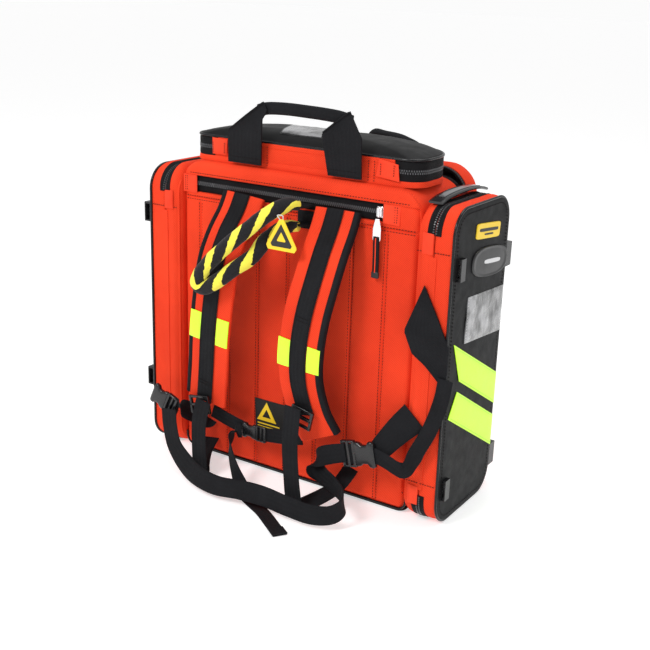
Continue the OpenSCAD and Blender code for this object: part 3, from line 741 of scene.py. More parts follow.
def quilted_back():
    """The wearer's side: cloth padded between its seams, flat where the zip lies."""
    levels = np.unique(np.concatenate([np.linspace(6.5, 438, 118), [411.6, 412.4],
        403 + np.array([-4, -2.5, -1.2, 0, 1.2, 2.5, 4])]))
    by_seam = [(x + np.array([-5, -3.2, -1.6, 0, 1.6, 3.2, 5])) / 195 for x in CHANNELS]
    by_zip = np.array([-178.4, -177.6, 144.6, 145.4]) / 195
    cuts = np.concatenate([np.linspace(-1, 1, 91)] + by_seam + [by_zip])
    cuts = np.unique(np.clip(np.round(cuts, 5), -1, 1))
    top = np.zeros((len(levels), len(cuts), 3))
    for i, z in enumerate(levels):
        w = row_width(z, 3, 14, 38)
        top[i, :, 0] = cuts * w
        top[i, :, 2] = z
    flat = top[..., [0, 2]]
    w = np.array([row_width(z, 3, 14, 38) for z in levels])[:, None]
    edge = np.clip(np.minimum(w - abs(flat[..., 0]), flat[..., 1] - 6.5) / 7.0, 0, 1)
    roll = np.sqrt(1 - (1 - edge) ** 2)
    near = np.min([far_from(flat, a, b) for a, b in SEAMS[:8]], axis=0)
    diagonal = np.min([far_from(flat, a, b) for a, b in SEAMS[8:]], axis=0)
    pad = 1.9 * (1 - np.exp(-near / 9.0)) - 1.9 * np.exp(-(near / 2.0) ** 2)
    pad = pad - 1.3 * np.exp(-(diagonal / 2.2) ** 2)
    squat = np.concatenate([top[..., :2], top[..., 2:] * 0.5], -1)
    lumps = 0.5 * ripple(squat, 70, 11) + 0.25 * ripple(top, 24, 12)
    high = 66 + 4.9 * roll + pad * roll + lumps * roll * 0.8
    window = (flat[..., 0] > -178) & (flat[..., 0] < 145) & (flat[..., 1] > 412)
    top[..., 1] = -np.where(window, 67.2, high)
    bottom = top.copy()
    bottom[..., 1] = -64.5
    slab("back_panel_cloth", top, bottom, RED, "bag", stands_for=["back_panel"], padding=0.5, sharp=50)
    for x in CHANNELS:
        for dx in (-2.7, 2.7):
            z = np.linspace(10, 397, 60)
            sew("bag", points(x + dx, -70.9, z))
    for z in (400.6, 405.4):
        x = np.linspace(-192, 192, 60)
        sew("bag", points(x, -71.0, z))
    for side in (-1, 1):
        for a, b in (((164, 63), (197, 26)), ((164, 63), (195, 64))):
            for d in (-1.8, 1.8):
                t = np.linspace(0, 0.93, 12)
                across = unit([-(b[1] - a[1]), b[0] - a[0]]) * d
                x = side * (a[0] + (b[0] - a[0]) * t + across[0])
                z = a[1] + (b[1] - a[1]) * t + across[1]
                sew("bag", points(x, -70.8, z))


quilted_back()


def top_band():
    """The fold of cloth over the wearer's side's upper edge."""
    rows = [(436.6, 73.4), (437.4, 74.4), (440, 74.9), (446, 75.0), (451, 74.6), (455, 73.2), (457.6, 70.6),
        (459, 66.5), (459.2, 60)]
    cuts = np.linspace(-1, 1, 81)
    top = np.zeros((len(rows), 81, 3))
    for i, (z, y) in enumerate(rows):
        w = row_width(min(z, 458.6), 0, 14, 38)
        top[i, :, 0] = cuts * w
        top[i, :, 1] = -y + 3.0 * np.clip((abs(cuts) - 0.95) / 0.05, 0, 1) ** 2
        top[i, :, 2] = z
    lumps = ripple(top, 60, 21)
    top[..., 1] += 0.5 * lumps
    bottom = top.copy()
    bottom[..., 1] = np.maximum(top[..., 1] + 1.6, -72.0)
    bottom[..., 2] = np.minimum(top[..., 2], 457.4)
    slab("top_band_cloth", top, bottom, RED, "bag", stands_for=["top_band"], sharp=60)
    x = np.linspace(-183, 183, 60)
    sew("bag", points(x, -74.9, 440.4))


top_band()


def back_zip():
    """Two tapes and their coils, swept along the slot."""
    profile = np.array([[411.5, -67.6], [412.5, -69.0], [418, -69.2], [420.8, -69.5], [421.6, -70.4],
        [423.4, -70.5], [424.5, -69.6], [425.5, -69.6], [426.6, -70.5], [428.4, -70.4], [429.2, -69.5],
        [433, -69.2], [438, -69.0], [438.4, -67.6]])
    x = np.linspace(-178, 145, 60)
    top = np.zeros((len(profile), 60, 3))
    top[..., 0], top[..., 1], top[..., 2] = x[None], profile[:, 1:2], profile[:, :1]
    bottom = top.copy()
    bottom[..., 1] = -66.5
    slab("back_zip_tape", top, bottom, TAPE, "bag", stands_for=["back_zip"], sharp=60)
    line = points(x, -70.0, 425.0)
    teeth("bag", line + [0, 0, 1.5], (0, 0, 1), (0, -1, 0), width=3.4)
    teeth("bag", line - [0, 0, 1.5], (0, 0, 1), (0, -1, 0), width=3.4, phase=0.5)
    for z in (414.5, 435.5):
        sew("bag", points(x, -69.2, z), pitch=3.6, long=2.6, thick=0.35)


back_zip()
quad("back_zip_tab_left", [(-197, -71.8, 410.5), (-171, -72.6, 410.5), (-171, -72.8, 436.5),
    (-196, -72.2, 436.5)], 2.2, RED_TAB, "bag", rows=10, cols=10, sag=0.6, stands_for=["back_zip_tabs"])
quad("back_zip_tab_right", [(142, -72.6, 411), (167, -72.2, 410), (168, -72.2, 436.5),
    (142.5, -72.8, 436.5)], 2.2, RED_TAB, "bag", rows=10, cols=10, sag=0.6)
for x in (160, 163.5, -188, -191.5):
    sew("bag", points(x, -74.6, np.linspace(413, 434, 8)), pitch=3.2, long=2.4)

# Base sheet and the piping round the foot
BASE = outline(-194, -68, 194, 121, 12, 12)
loft("base_cloth", BASE, [(0, -4, 0.02), (0, -4, 0.6), (0, -3), (0.6, -1), (1.8, 0), (3.2, -0.6), (3.4, -3),
    (3.4, -3, 0.02)], "z", COATED_BASE, "bag", stands_for=["base_panel"])
foot = open_arc(BODY, lambda p: (p[:, 1] < 26))
tube("foot_piping", to_space(foot[0] - foot[1], -68.5, "y"), 1.7, PIPING, "bag", sides=8, up=(0, 1, 0))


# ---------- zip rings of the main body and its front flap ----------

def zip_ring(name, ring, lo, hi, y_teeth, body, phase, node):
    """Half of a ring zip: its tape between two depths, and its teeth."""
    loft(name, ring, [(lo, -0.7), (lo + 2, -0.9), (hi - 2, -0.9), (hi, -0.8), (hi, -3.4), (lo, -3.4)], "y",
        TAPE, body, tube=True, stands_for=[node])
    p, n = ring
    closed = np.concatenate([p, p[:1]])
    out = np.concatenate([n, n[:1]])
    line = to_space(closed - out * 0.7, y_teeth, "y")
    teeth(body, line, (0, 1, 0), to_space(out, 0, "y"), width=2.8, phase=phase)


zip_ring("main_zip_tape", BODY, 50, 58, 56.6, "bag", 0.0, "main_zip")
zip_ring("front_zip_tape", FLAP, 59, 67, 60.4, "front_flap", 0.5, "front_zip")


# ---------- front flap ----------

def drawn(y):
    """How far the flap's sides and top are drawn in at a depth."""
    return 21 * np.clip((y - 90) / 31, 0, 1) ** 1.7


def puffed(amount, y_face, seed):
    """Fills the flap's face out towards its middle."""
    def shape(space, normal, st):
        full = (st[:, 2] > 0.99)[:, None]
        lumps = ripple(space, 80, seed)
        pull = (drawn(st[:, 0]) * st[:, 2])[:, None, None] * normal[None]
        pull[..., 2] = np.maximum(pull[..., 2], 0)
        space = space - pull + normal[None] * (0.5 * lumps * full)[..., None]
        face = (1 - st[:, 2]) ** 0.5 * (st[:, 0] > y_face - 2)
        space[..., 1] += amount * face[:, None] + 0.35 * lumps * (face[:, None] > 0)
        return space
    return shape


steps = np.linspace(0.985, 0.02, 34)
inner_face = [(119.6, -5.2, s) for s in steps[::-2]]
outer_face = [(120.8, -3.5, s) for s in steps]
wall = [(119.4, -4.8), (116, -2), (110, -1), (98, -0.7), (82, -0.7), (70, -1.8), (67, -2.8), (67, -1.2),
    (67.6, -0.3), (72, 0), (82, 1.2), (92, 1.6), (100, 1.2), (107, 0.8), (112, 0.4), (116, 0),
    (119.5, -1.2), (120.6, -3.5)]
loft("front_cloth", FLAP, inner_face + wall + outer_face, "y", RED, "front_flap",
    shape=puffed(1.6, 120.7, 31), stands_for=["front_shell"])
loft("front_lining", FLAP, [(67, -3.4), (67, -4.6), (90, -5), (98, -5.2), (104, -5.6), (110, -6),
    (115, -6.6), (116.2, -7.4), (116.4, -7.6, 0.97), (116.4, -7.6, 0.5), (116.4, -7.6, 0.001),
    (117, -7.6, 0.001), (117, -7.6, 0.97), (116.9, -6.4), (112, -5), (104, -4.4), (98, -4), (90, -3.8),
    (78, -3.6)], "y", LINING, "front_flap", tube=True, shape=puffed(0, 999, 31))
inward = np.stack([FLAP[1][:, 0], np.maximum(FLAP[1][:, 1], 0)], 1)
rim = FLAP[0] - inward * (drawn(119.4) - 0.4)
tube("front_piping_cord", to_space(rim, 119.6, "y"), 2.0, PIPING, "front_flap", closed=True, sides=8,
    up=(0, 1, 0), stands_for=["front_piping"])
for k, z in enumerate((120, 300)):
    quad(f"front_tape_{k}", [(170, 122.0, z), (-170, 122.0, z), (-170, 122.0, z + 50),
        (170, 122.0, z + 50)], 1.6, HIVIS, "front_flap", (0, 1, 0), rows=10, cols=60,
        stands_for=["front_hivis"] if k == 0 else ())
    for dz in (3, 47):
        x = np.linspace(-167, 167, 30)
        sew("front_flap", points(x, 123.7, z + dz), (0, 1, 0))
for x in (-130, 130):
    z = np.linspace(24, 448, 50)
    for dx in (-2, 2):
        sew("front_flap", points(x + dx, 122.0, z), (0, 1, 0))

# Rolled grab handle on the flap's upper edge
grab = spline([[18, 98, 471.5], [18, 98, 489], [26, 98, 500], [44, 98, 500], [72, 98, 496], [90, 98, 491],
    [98, 98, 483], [98, 98, 471.5]], 8)
swell = 6.6 + 0.5 * np.sin(np.linspace(0, 26, len(grab)))
ends = np.minimum(1, 0.55 + np.minimum(np.arange(len(grab)), np.arange(len(grab))[::-1]) / 12.0)
tube("front_grab_roll", grab, swell * ends, BLACK, "front_grab", sides=14, up=(0, 1, 0),
    stands_for=["front_grab"])
sew("front_grab", grab[6:-6] + np.array([0, -6.6, 0]))


# ---------- top box and lid ----------

BOX = outline(-187, -62, 187, 56, 26, 70, step=5, turn=16)
loft("box_wall", BOX, [(459.2, 1.2), (461, 1.2), (464, 0.9), (466.6, 0.3), (467.4, -0.5), (467.4, -3),
    (459.2, -3)], "z", RED, "bag", tube=True, shape=crumple(0.5, 46, 41), stands_for=["box_shell"])
loft("box_floor", BOX, [(459.4, -3, 0.02), (459.4, -3), (461.2, -3), (461.2, -3, 0.02)], "z", LINING, "bag")
near_side = open_arc(BOX, lambda p: (p[:, 1] < -61.5) & (p[:, 0] > -147) & (p[:, 0] < 153))
loft("box_near_wall", near_side, [(467, 0), (471, 0.9), (478, 1.4), (485, 1.0), (490, 0.2), (491.2, -0.8),
    (491.2, -3), (467, -3)], "z", RED, "bag", arc=True, shape=crumple(0.4, 40, 42))
zip_side = open_arc(BOX, lambda p: ~((p[:, 1] < -61.5) & (p[:, 0] > -143) & (p[:, 0] < 149)))
loft("box_zip_low_tape", zip_side, [(466.8, 0.2), (468, 0.6), (473, 0.5), (478.8, -0.2), (478.8, -2.4),
    (466.8, -2.4)], "z", TAPE, "bag", arc=True, stands_for=["box_zip"])
loft("box_zip_high_tape", zip_side, [(479.8, -0.2), (485, 0.5), (490.5, 0.5), (492.6, -0.4), (492.6, -2.4),
    (479.8, -2.4)], "z", TAPE, "top_lid", arc=True)
line = to_space(zip_side[0] - zip_side[1] * 0.5, 0, "z")
outward = to_space(zip_side[1], 0, "z")
teeth("bag", line + [0, 0, 477.8], (0, 0, 1), outward, width=3.2)
teeth("top_lid", line + [0, 0, 480.9], (0, 0, 1), outward, width=3.2, phase=0.5)

for k, (x, lean, wide) in enumerate(((-135, -1, 13), (140, 3, 16))):
    corners = [(x - wide, -64.6, 470), (x + wide + lean, -64.6, 469 - lean), (x + wide, -64.0, 491 - lean),
        (x - wide + lean, -64.0, 493)]
    quad(f"box_tab_{k}", corners, 1.8, RED_TAB, "bag", rows=10, cols=10, sag=1.2,
        stands_for=["box_tabs"] if k == 0 else (), blend=("top_lid", (x, -64, 486), (x, -64, 493)))
    for dx in (-10, 10):
        sew("bag", points(x + dx + lean * 0.5, -67.6, np.linspace(472, 488, 8)), pitch=3.2, long=2.4)
for x in (-100, -56, 46, 108, 117):
    sew("bag", points(x + 3.0, -63.5, np.linspace(461, 490, 8)), pitch=3.6, long=2.6)


def crown(space, normal, st):
    """Fills the lid's top out towards its middle and dents it a little."""
    inside = np.clip(1 - st[:, 2], 0, 1)
    top = (st[:, 0] > 497)[:, None]
    rise = 13.5 * (1 - (1 - inside) ** 4.2)
    soft = np.clip(inside * 8, 0, 1)[:, None]
    space[..., 2] += rise[:, None] * top + 0.5 * ripple(space, 60, 51) * top * soft
    return space


rings = np.concatenate([np.linspace(0.99, 0.9, 5), np.linspace(0.87, 0.03, 26)])
lid = loft("lid_cloth", BOX, [(491.9, -6, 0.02), (491.9, -6), (491.9, -1.6), (492.6, -1.2), (495, -1.0),
    (496.6, -1.8), (497.4, -3.2)] + [(497.4, -3.2, s) for s in rings], "z", VINYL, "top_lid", shape=crown,
    stands_for=["lid_cover"], padding=0.5)
p, n = BOX
tube("lid_piping_cord", to_space(p - n * 0.2, 494.8, "z"), 2.0, PIPING, "top_lid", closed=True, sides=10,
    stands_for=["lid_piping"])


def height_on(ob, x, y):
    """Height of a piece's top over flat points, from its nearest corners."""
    co = np.array([v.co for v in ob.data.vertices]) / MM
    co = co[co[:, 2] > 495]
    d = np.hypot(co[None, :, 0] - np.ravel(x)[:, None], co[None, :, 1] - np.ravel(y)[:, None]) + 0.5
    near = np.argsort(d, 1)[:, :4]
    w = 1 / np.take_along_axis(d, near, 1) ** 2
    return ((co[near, 2] * w).sum(1) / w.sum(1)).reshape(np.shape(x))


def lid_label():
    u, v = np.meshgrid(np.linspace(-45, 26, 26), np.linspace(-46, 18, 20))
    u = u - 0.36 * (v + 46)
    for name, grow, low, high, mat, finish in (("lid_window_frame", 1.0, -1.0, 0.5, PIPING, "piping"),
        ("lid_window_film", 0.93, 0.2, 1.1, FILM, "clear_vinyl")):
        x = -21 + (u + 21) * grow
        y = -14 + (v + 14) * grow
        base = height_on(lid, x, y)
        top = np.stack([x, y, base + high + 0.3 * ripple(points(x, y, 0), 14, 61)], -1)
        bottom = np.stack([x, y, base + low], -1)
        slab(name, top, bottom, mat, "top_lid",
            stands_for=["lid_window"] if finish == "clear_vinyl" else (), finish=finish)


lid_label()

# Cloth hinge between the box's near wall and the lid
x = np.linspace(-140, 150, 40)
levels = [487.5, 489.4, 491.2, 492.6, 493.8]
outer = np.stack([points(x, -63.4, z) for z in levels])
inner = outer + np.array([0, 1.2, 0])
slab("lid_hinge_cloth", outer, inner, RED, "bag", blend=("top_lid", (0, -62, 489), (0, -62, 493.5)))


# ---------- side pockets ----------

POCKET = outline(-83, 2.6, 83, 442, 34, 34)


def gusset(first, span, puff, seed):
    """Bulge of a pocket wall between its seams, most at the top, with soft creases across it."""
    def shape(space, normal, st):
        level = abs(space[..., 0])
        t = np.clip((level - first) / span, 0, 1)
        wall = ((st[:, 1] > -2.5) & (st[:, 2] > 0.99))[:, None]
        up = np.clip(normal[:, 2], 0, 1)[None]
        lumps = ripple(space, 55, seed) * 0.9 + 0.5 * ripple(space, 20, seed + 1)
        grow = np.sin(np.pi * t) * (0.8 + puff * up) + 0.45 * lumps * np.sin(np.pi * t) ** 0.5
        corner = (9 * abs(normal[:, 1]) + 2 * np.clip(normal[:, 2], 0, 1))[None]
        tuck = np.clip((211 - level) / 12.6, 0, 1) ** 2 * corner
        grow = grow - tuck * (first < 200)
        return space + normal[None] * (grow * wall)[..., None]
    return shape


def zip_bulge(body, puff):
    """Lets a zip's tape follow the bulge of the pocket wall or the door under it."""
    low, wide, fill = (198, 26, puff) if body == "bag" else (224, 27, puff * 0.7)

    def shape(space, normal, st):
        t = np.clip((abs(space[..., 0]) - low) / wide, 0, 1)
        up = np.clip(normal[:, 2], 0, 1)[None]
        return space + normal[None] * (np.sin(np.pi * t) * (0.8 + fill * up))[..., None]
    return shape


def dented(s):
    """Shallow dents over the outer face of a door's panel."""
    def shape(space, normal, st):
        face = ((abs(st[:, 0]) > 253) & (st[:, 2] < 0.99))[:, None]
        full = np.clip((1 - st[:, 2]) * 6, 0, 1)[:, None]
        lumps = 0.9 * ripple(space, 150, 91) + 0.5 * ripple(space, 60, 92) + 0.2 * ripple(space, 26, 93)
        space[..., 0] += s * face * full * np.clip(0.4 + 0.55 * lumps, -0.8, 0.9)
        return space
    return shape


def make_pocket(s, word, puff):
    """A side pocket and its door; s is 1 on the right and -1 on the left."""
    door = f"{word}_door"
    loft(f"{word}_pocket_cloth", POCKET, [(s * 198.4, -6, 0.02), (s * 198.4, -1.5), (s * 199.2, -0.4),
        *[(s * x, 0) for x in (200.6, 202.6, 205, 208, 211, 214.5, 218, 222.4)], (s * 223.4, -0.8),
        (s * 223.4, -3), (s * 202, -3), (s * 200.4, -4), (s * 200.4, -6, 0.02)], "x", RED, "bag",
        shape=gusset(198, 26, puff, 71 if s > 0 else 81), stands_for=[f"{word}_pocket"])
    loft(f"{door}_cloth", POCKET, [(s * 224.6, -2.8), (s * 224.6, -0.8),
        *[(s * x, 0) for x in (225.6, 230, 235, 240, 245)], (s * 249.4, -0.4), (s * 250.2, -2),
        (s * 250.2, -3.6), (s * 240, -3.6), (s * 226, -3.6)], "x", RED, door, tube=True,
        shape=gusset(224, 27, puff * 0.7, 72 if s > 0 else 82), stands_for=[door])
    zipped = open_arc(POCKET, lambda p: ~((p[:, 0] < -82.5) & (p[:, 1] > 46) & (p[:, 1] < 402)))
    for body, (a, b), row, phase, node in (("bag", (213.6, 223.4), 222.0, 0.0, f"{word}_pocket_zip"),
        (door, (224.6, 233.2), 226.0, 0.5, f"{word}_door_zip")):
        loft(f"{body}_{word}_tape" if body == "bag" else f"{door}_tape", zipped,
            [(s * a, 0.2), (s * (a + 0.8), 0.9), (s * (b - 0.8), 0.9), (s * b, 0.2), (s * b, -0.8),
            (s * a, -0.8)], "x", TAPE, body, arc=True, shape=zip_bulge(body, puff), stands_for=[node])
        pts = to_space(zipped[0] + zipped[1] * 0.9, s * row, "x")
        teeth(body, pts, (1, 0, 0), to_space(zipped[1], 0, "x"), width=2.6, phase=phase)
    inside = [(s * 250.0, -3.6, 0.02), (s * 250.0, -3.6, 0.5), (s * 250.0, -3.6, 0.95), (s * 250.0, -1.0),
        (s * 250.6, 0.4), (s * 252.6, 0.4), (s * 253.2, -1.2)]
    inside += [(s * 253.3, -1.2, k) for k in np.concatenate([np.linspace(0.985, 0.9, 4),
        np.linspace(0.86, 0.03, 22)])]
    loft(f"{door}_panel_cloth", POCKET, inside, "x", TARP, door, shape=dented(s),
        stands_for=[f"{word}_panel"])
    p, n = POCKET
    tube(f"{door}_piping_cord", to_space(p + n * 0.6, s * 251.4, "x"), 2.0, PIPING, door, closed=True,
        sides=10, up=(1, 0, 0), stands_for=[f"{word}_piping"])
    seam = p - n * 7
    sew(door, to_space(np.concatenate([seam, seam[:1]]), s * 253.7, "x"), (s, 0, 0), pitch=5)
    for z in (386, 62):
        for body, xs in (("bag", (200, 223)), (door, (225, 249))):
            x = np.linspace(xs[0], xs[1], 8)
            sew(body, points(s * x, -84.4, z), pitch=3.8)
    for z in (30, 384):
        quad(f"{word}_zip_tab_{z}", [(s * 208, -84.0, z - 1), (s * 223.2, -84.0, z - 1),
            (s * 223.2, -84.2, z + 26), (s * 208, -84.2, z + 27)], 1.8, RED_TAB, "bag", rows=8, cols=8,
            sag=0.5, stands_for=["pocket_tabs"] if (s > 0 and z == 30) else ())
    z = np.linspace(52, 380, 30)
    rows = [points(s * x, -84.3, z) for x in (219, 221.5, 223.3, 224, 224.7, 226.5, 229)]
    outer = np.stack(rows)
    inner = outer + np.array([0, 1.4, 0])
    slab(f"{word}_hinge_cloth", outer, inner, RED, "bag",
        blend=(door, (s * 221.5, -84, 200), (s * 226.5, -84, 200)))
    for k, cs in enumerate(([(-68, 264), (82, 182), (82, 134), (-44, 206)],
        [(-48, 192), (82, 116), (82, 68), (-70, 159)])):
        c = [(s * 253.9, y, z) for y, z in (cs[3], cs[2], cs[1], cs[0])]
        quad(f"{door}_tape_{k}_strip", c, 1.5, HIVIS, door, (s, 0, 0), rows=8, cols=24, sag=0.5,
            stands_for=[f"{word}_hivis"] if k == 0 else ())
        for a, b in ((cs[0], cs[1]), (cs[3], cs[2])):
            t = np.linspace(0.03, 0.97, 30)
            toward = 3.0 if a is cs[0] else -3.0
            line = points(s * 255.5, a[0] + (b[0] - a[0]) * t, a[1] + (b[1] - a[1]) * t - toward)
            sew(door, line, (s, 0, 0), pitch=4, long=2.8, thick=0.35)


make_pocket(1, "right", 1.6)
make_pocket(-1, "left", 6.5)

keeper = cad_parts["right_keepers"]
m = keeper.modifiers.new("edges", "BEVEL")
m.width = 1.4 * MM
m.segments = 3
m.limit_method = "ANGLE"
keeper.data.materials.clear()
keeper.data.materials.append(PLASTIC)
for k, (z, y) in enumerate(((372, -77), (107, -77), (355, 94), (49, 94))):
    across = 5 if y < 0 else -5
    bars(f"left_keeper_{k}", [((across, 0, 0), (2.6, 12, 30)), ((-across, 0, 0), (2.6, 12, 30)),
        ((0, 0, 13.4), (12, 12, 3)), ((0, 0, -13.4), (12, 12, 3))], PLASTIC, "left_door",
        at=(-260 if y < 0 else -247, y, z), bevel=1.2, stands_for=["left_keepers"] if k == 0 else ())


def disc(name, centre, half, mat, body, x0, high, tilt, dome=0.0, sides=48, stands_for=(), finish=None,
    corner=1.0, rim=0.0):
    """A domed badge on the right panel: a rounded or squared oval round a centre (y, z)."""
    base = oval(half[0], half[1], sides, corner)
    a = math.radians(tilt)
    base = base @ np.array([[math.cos(a), math.sin(a)], [-math.sin(a), math.cos(a)]])
    rings = [(0, 1.0), (0.6 * high, 1.0), (high, 0.965)]
    if rim:
        rings += [(high, 0.90), (high - rim, 0.86)]
        top = high - rim
    else:
        top = high
    last = rings[-1][1]
    rings += [(top + dome * (1 - (k / last) ** 2), k) for k in np.linspace(last * 0.9, 0.04, 7)]
    verts = np.array([[x0 + h, centre[0] + q[0] * k, centre[1] + q[1] * k] for h, k in rings for q in base])
    faces = grid_faces(len(rings), sides, wrap_cols=True) + [list(range(sides)),
        [(len(rings) - 1) * sides + k for k in range(sides)]]
    return piece(name, verts, faces, mat, body, stands_for=stands_for, finish=finish, sharp=50)


disc("badge_plate", (26, 359), (58, 21), RUBBER, "right_door", 253.6, 2.6, -6, dome=1.0,
    stands_for=["right_badge"], corner=0.78, rim=0.7)
disc("badge_ridge", (30, 359), (26, 3), plastic("badge_print", rgb(0.62, 0.62, 0.63), 0.4), "right_door",
    255.6, 1.4, -6, finish="rubber_badge", corner=0.5)
disc("yellow_patch", (14, 403), (38, 10.5), YELLOW, "right_door", 253.6, 1.6, -6, corner=0.22)
disc("yellow_patch_bar", (14, 404.5), (30, 2.2), INK, "right_door", 254.9, 0.7, -6, corner=0.3)
disc("yellow_patch_bar_2", (14, 398.5), (14, 1.2), INK, "right_door", 254.9, 0.7, -6, corner=0.3)


def card_window():
    c = [(254, -37, 257), (254, 80, 247), (254, 80, 314), (254, -35, 321)]
    u, v, flat = between_corners(c, 40, 26)
    c = np.array(c, float)
    top = flat.copy()
    edge = np.clip(np.minimum(np.minimum(u, 1 - u) * 20, np.minimum(v, 1 - v) * 12), 0, 1)[..., 0]
    top[..., 0] += 0.7 + edge * np.clip(1.0 + 0.8 * ripple(flat, 34, 95), 0.1, 2.0)
    slab("card_film", top, flat - [0.6, 0, 0], FILM, "right_door", stands_for=["right_card_window"], sharp=70)
    loop = np.array([c[0] + [1, 2, 2], c[1] + [1, -2, 2], c[2] + [1, -2, -2], c[3] + [1, 2, -2],
        c[0] + [1, 2, 2]])
    sew("right_door", loop, (1, 0, 0), mat=WHITE_THREAD, pitch=4, long=2.6, thick=0.3)


card_window()

# Flat loop over the right pocket
loop_q = spline([[213, -64, 446.2, 0, 0, 1], [213, -44, 450.6, 0, 0, 1], [213, -10, 453, 0, 0, 1],
    [213, 24, 453, 0, 0, 1], [213, 54, 450.6, 0, 0, 1], [213, 72, 446.4, 0, 0, 1]], 6)
sweep("pocket_loop_strap", loop_q, strip(22, 3.4, 0, 0.3), PLASTIC, "right_pocket_loop",
    stands_for=["right_pocket_loop"], sharp=60)
# A thin lighter grey strip along the loop's top is a painted highlight on the black plastic.
sweep("pocket_loop_gloss", loop_q[5:-5], strip(9, 1.0, 2.0, 0.1),
    plastic("loop_gloss", rgb(0.10, 0.10, 0.105), 0.1), "right_pocket_loop", finish="black_plastic")


# ---------- compression wing ----------

def upright(y):
    def place(grid, lift):
        out = np.zeros(grid.shape[:-1] + (3,))
        wave = 0.5 * ripple(points(grid[..., 0], 0, grid[..., 1]), 60, 96)
        out[..., 0], out[..., 1], out[..., 2] = grid[..., 0], y - lift + wave, grid[..., 1]
        return out
    return place


plate("wing_cloth", [(216, 342), (190, 276), (204, 246), (223, 235), (256, 205), (257, 262), (236, 305)],
    2.2, upright(-86.4), WEB, "bag", rows=26, cols=14, blend=("right_door", (221.5, -86, 260),
    (226.5, -86, 260)), stands_for=["right_wing", "right_side_strap"], finish="black_fabric")


# ---------- carry handle ----------

LEAN = rotation("X", 8)


def leaned(p):
    """Handle points, leaned back a little and set on the body's top edge."""
    return np.asarray(p) @ LEAN.T + np.array([0, -72, 463.5])


def on_handle(y, bow=0.0):
    def place(grid, lift):
        flat = np.stack([grid[..., 0], y - lift + bow * np.sin(np.pi * np.clip(grid[..., 1] / 90, 0, 1)),
            grid[..., 1]], -1)
        return leaned(flat)
    return place


plate("handle_leg_left", [(-114, 0), (-57, 0), (-49, 66), (-39, 79), (-46, 90.5), (-109, 46)], 2.4,
    on_handle(1.2, -1.0), WEB, "carry_handle", rows=26, cols=12, stands_for=["carry_handle"])
plate("handle_leg_right", [(54, 0), (106, 0), (109, 55), (92, 89.5), (48, 57)], 2.4, on_handle(1.2, -1.0),
    WEB, "carry_handle", rows=26, cols=12)
for edge in ([(-107, 47), (-76, 69), (-46, 89)], [(50, 58), (70, 73), (91, 88)]):
    fold = spline([leaned([x, -1.6, z]) for x, z in edge], 8)
    tube(f"handle_fold_{edge[0][0]}", fold, 1.5, WEB, "carry_handle", sides=8, up=(0, 1, 0))
grip_mid = [[x, 4.2, 81 + dz] for x, dz in ((-56, -4), (-40, 0), (-10, 1.5), (20, 1.0), (50, 0), (75, -2),
    (92, -6))]
grip_q = np.concatenate([leaned(grip_mid), np.tile(np.array(WEARER, float) @ LEAN.T, (7, 1))], 1)
sweep("handle_grip", spline(grip_q, 6), oval(8.6, 3.2, 24, 0.6), WEB, "carry_handle", sharp=60)
low_edge = spline(grip_q, 6)[4:-4, :3] + np.array([0, -4.0, -6.5])
sew("carry_handle", low_edge)
for x0, x1 in ((-108, -58), (54, 104)):
    for z in (2.5, 9):
        x = np.linspace(x0, x1, 10)
        sew("carry_handle", leaned(points(x, -1.6, z)), pitch=3.4, long=2.4)


# ---------- shoulder straps ----------

LEFT_PAD = [[-82, -76, 419, 0, -1, 0.1], [-84, -88, 395, 0, -1, 0.5], [-88, -107, 366, 0, -1, 0.45],
    [-92, -122, 329, 0, -1, 0.25], [-97, -128, 274, 0, -1, 0.05], [-103, -128, 222],
    [-110, -123, 168, 0, -1, -0.1], [-122, -113, 112, 0, -1, -0.15]]
RIGHT_PAD = [[74, -76, 419, 0, -1, 0.1], [74, -88, 395, 0, -1, 0.5], [73, -105, 366, 0, -1, 0.45],
    [70, -120, 329, 0, -1, 0.25], [61, -127, 282, 0, -1, 0.05], [54, -128, 231],
    [52, -123, 183, 0, -1, -0.1], [61, -114, 135, 0, -1, -0.15], [76, -106, 100, 0, -1, -0.1]]
LEFT_LOWER = [[-110, -136, 118], [-117, -138, 82], [-114, -142, 40], [-109, -146, 17, 0, -1, 0.1],
    [-112, -141, 7, 0, -0.2, -1], [-118, -132, 8, 0, 0.8, -1], [-134, -106, 18, 0, 0.5, -1],
    [-142, -78, 30, 0, 0.3, -1]]
RIGHT_LOWER = [[52, -141, 150], [50, -143, 94], [58, -150, 52], [66, -156, 24, 0, -1, 0.1],
    [68, -152, 10, 0, -0.3, -1], [76, -143, 9, 0, 0.6, -1], [104, -108, 28, 0, 0.5, -1],
    [114, -80, 52, 0, 0.3, -1]]


def between(q, low, high):
    """The part of a route between two heights."""
    return q[(q[:, 2] >= low) & (q[:, 2] <= high)]


def lifted(q, d):
    """A route moved along the way it faces."""
    p, t, f, s = frames(q)
    return np.concatenate([p + d * f, q[:, 3:]], 1)


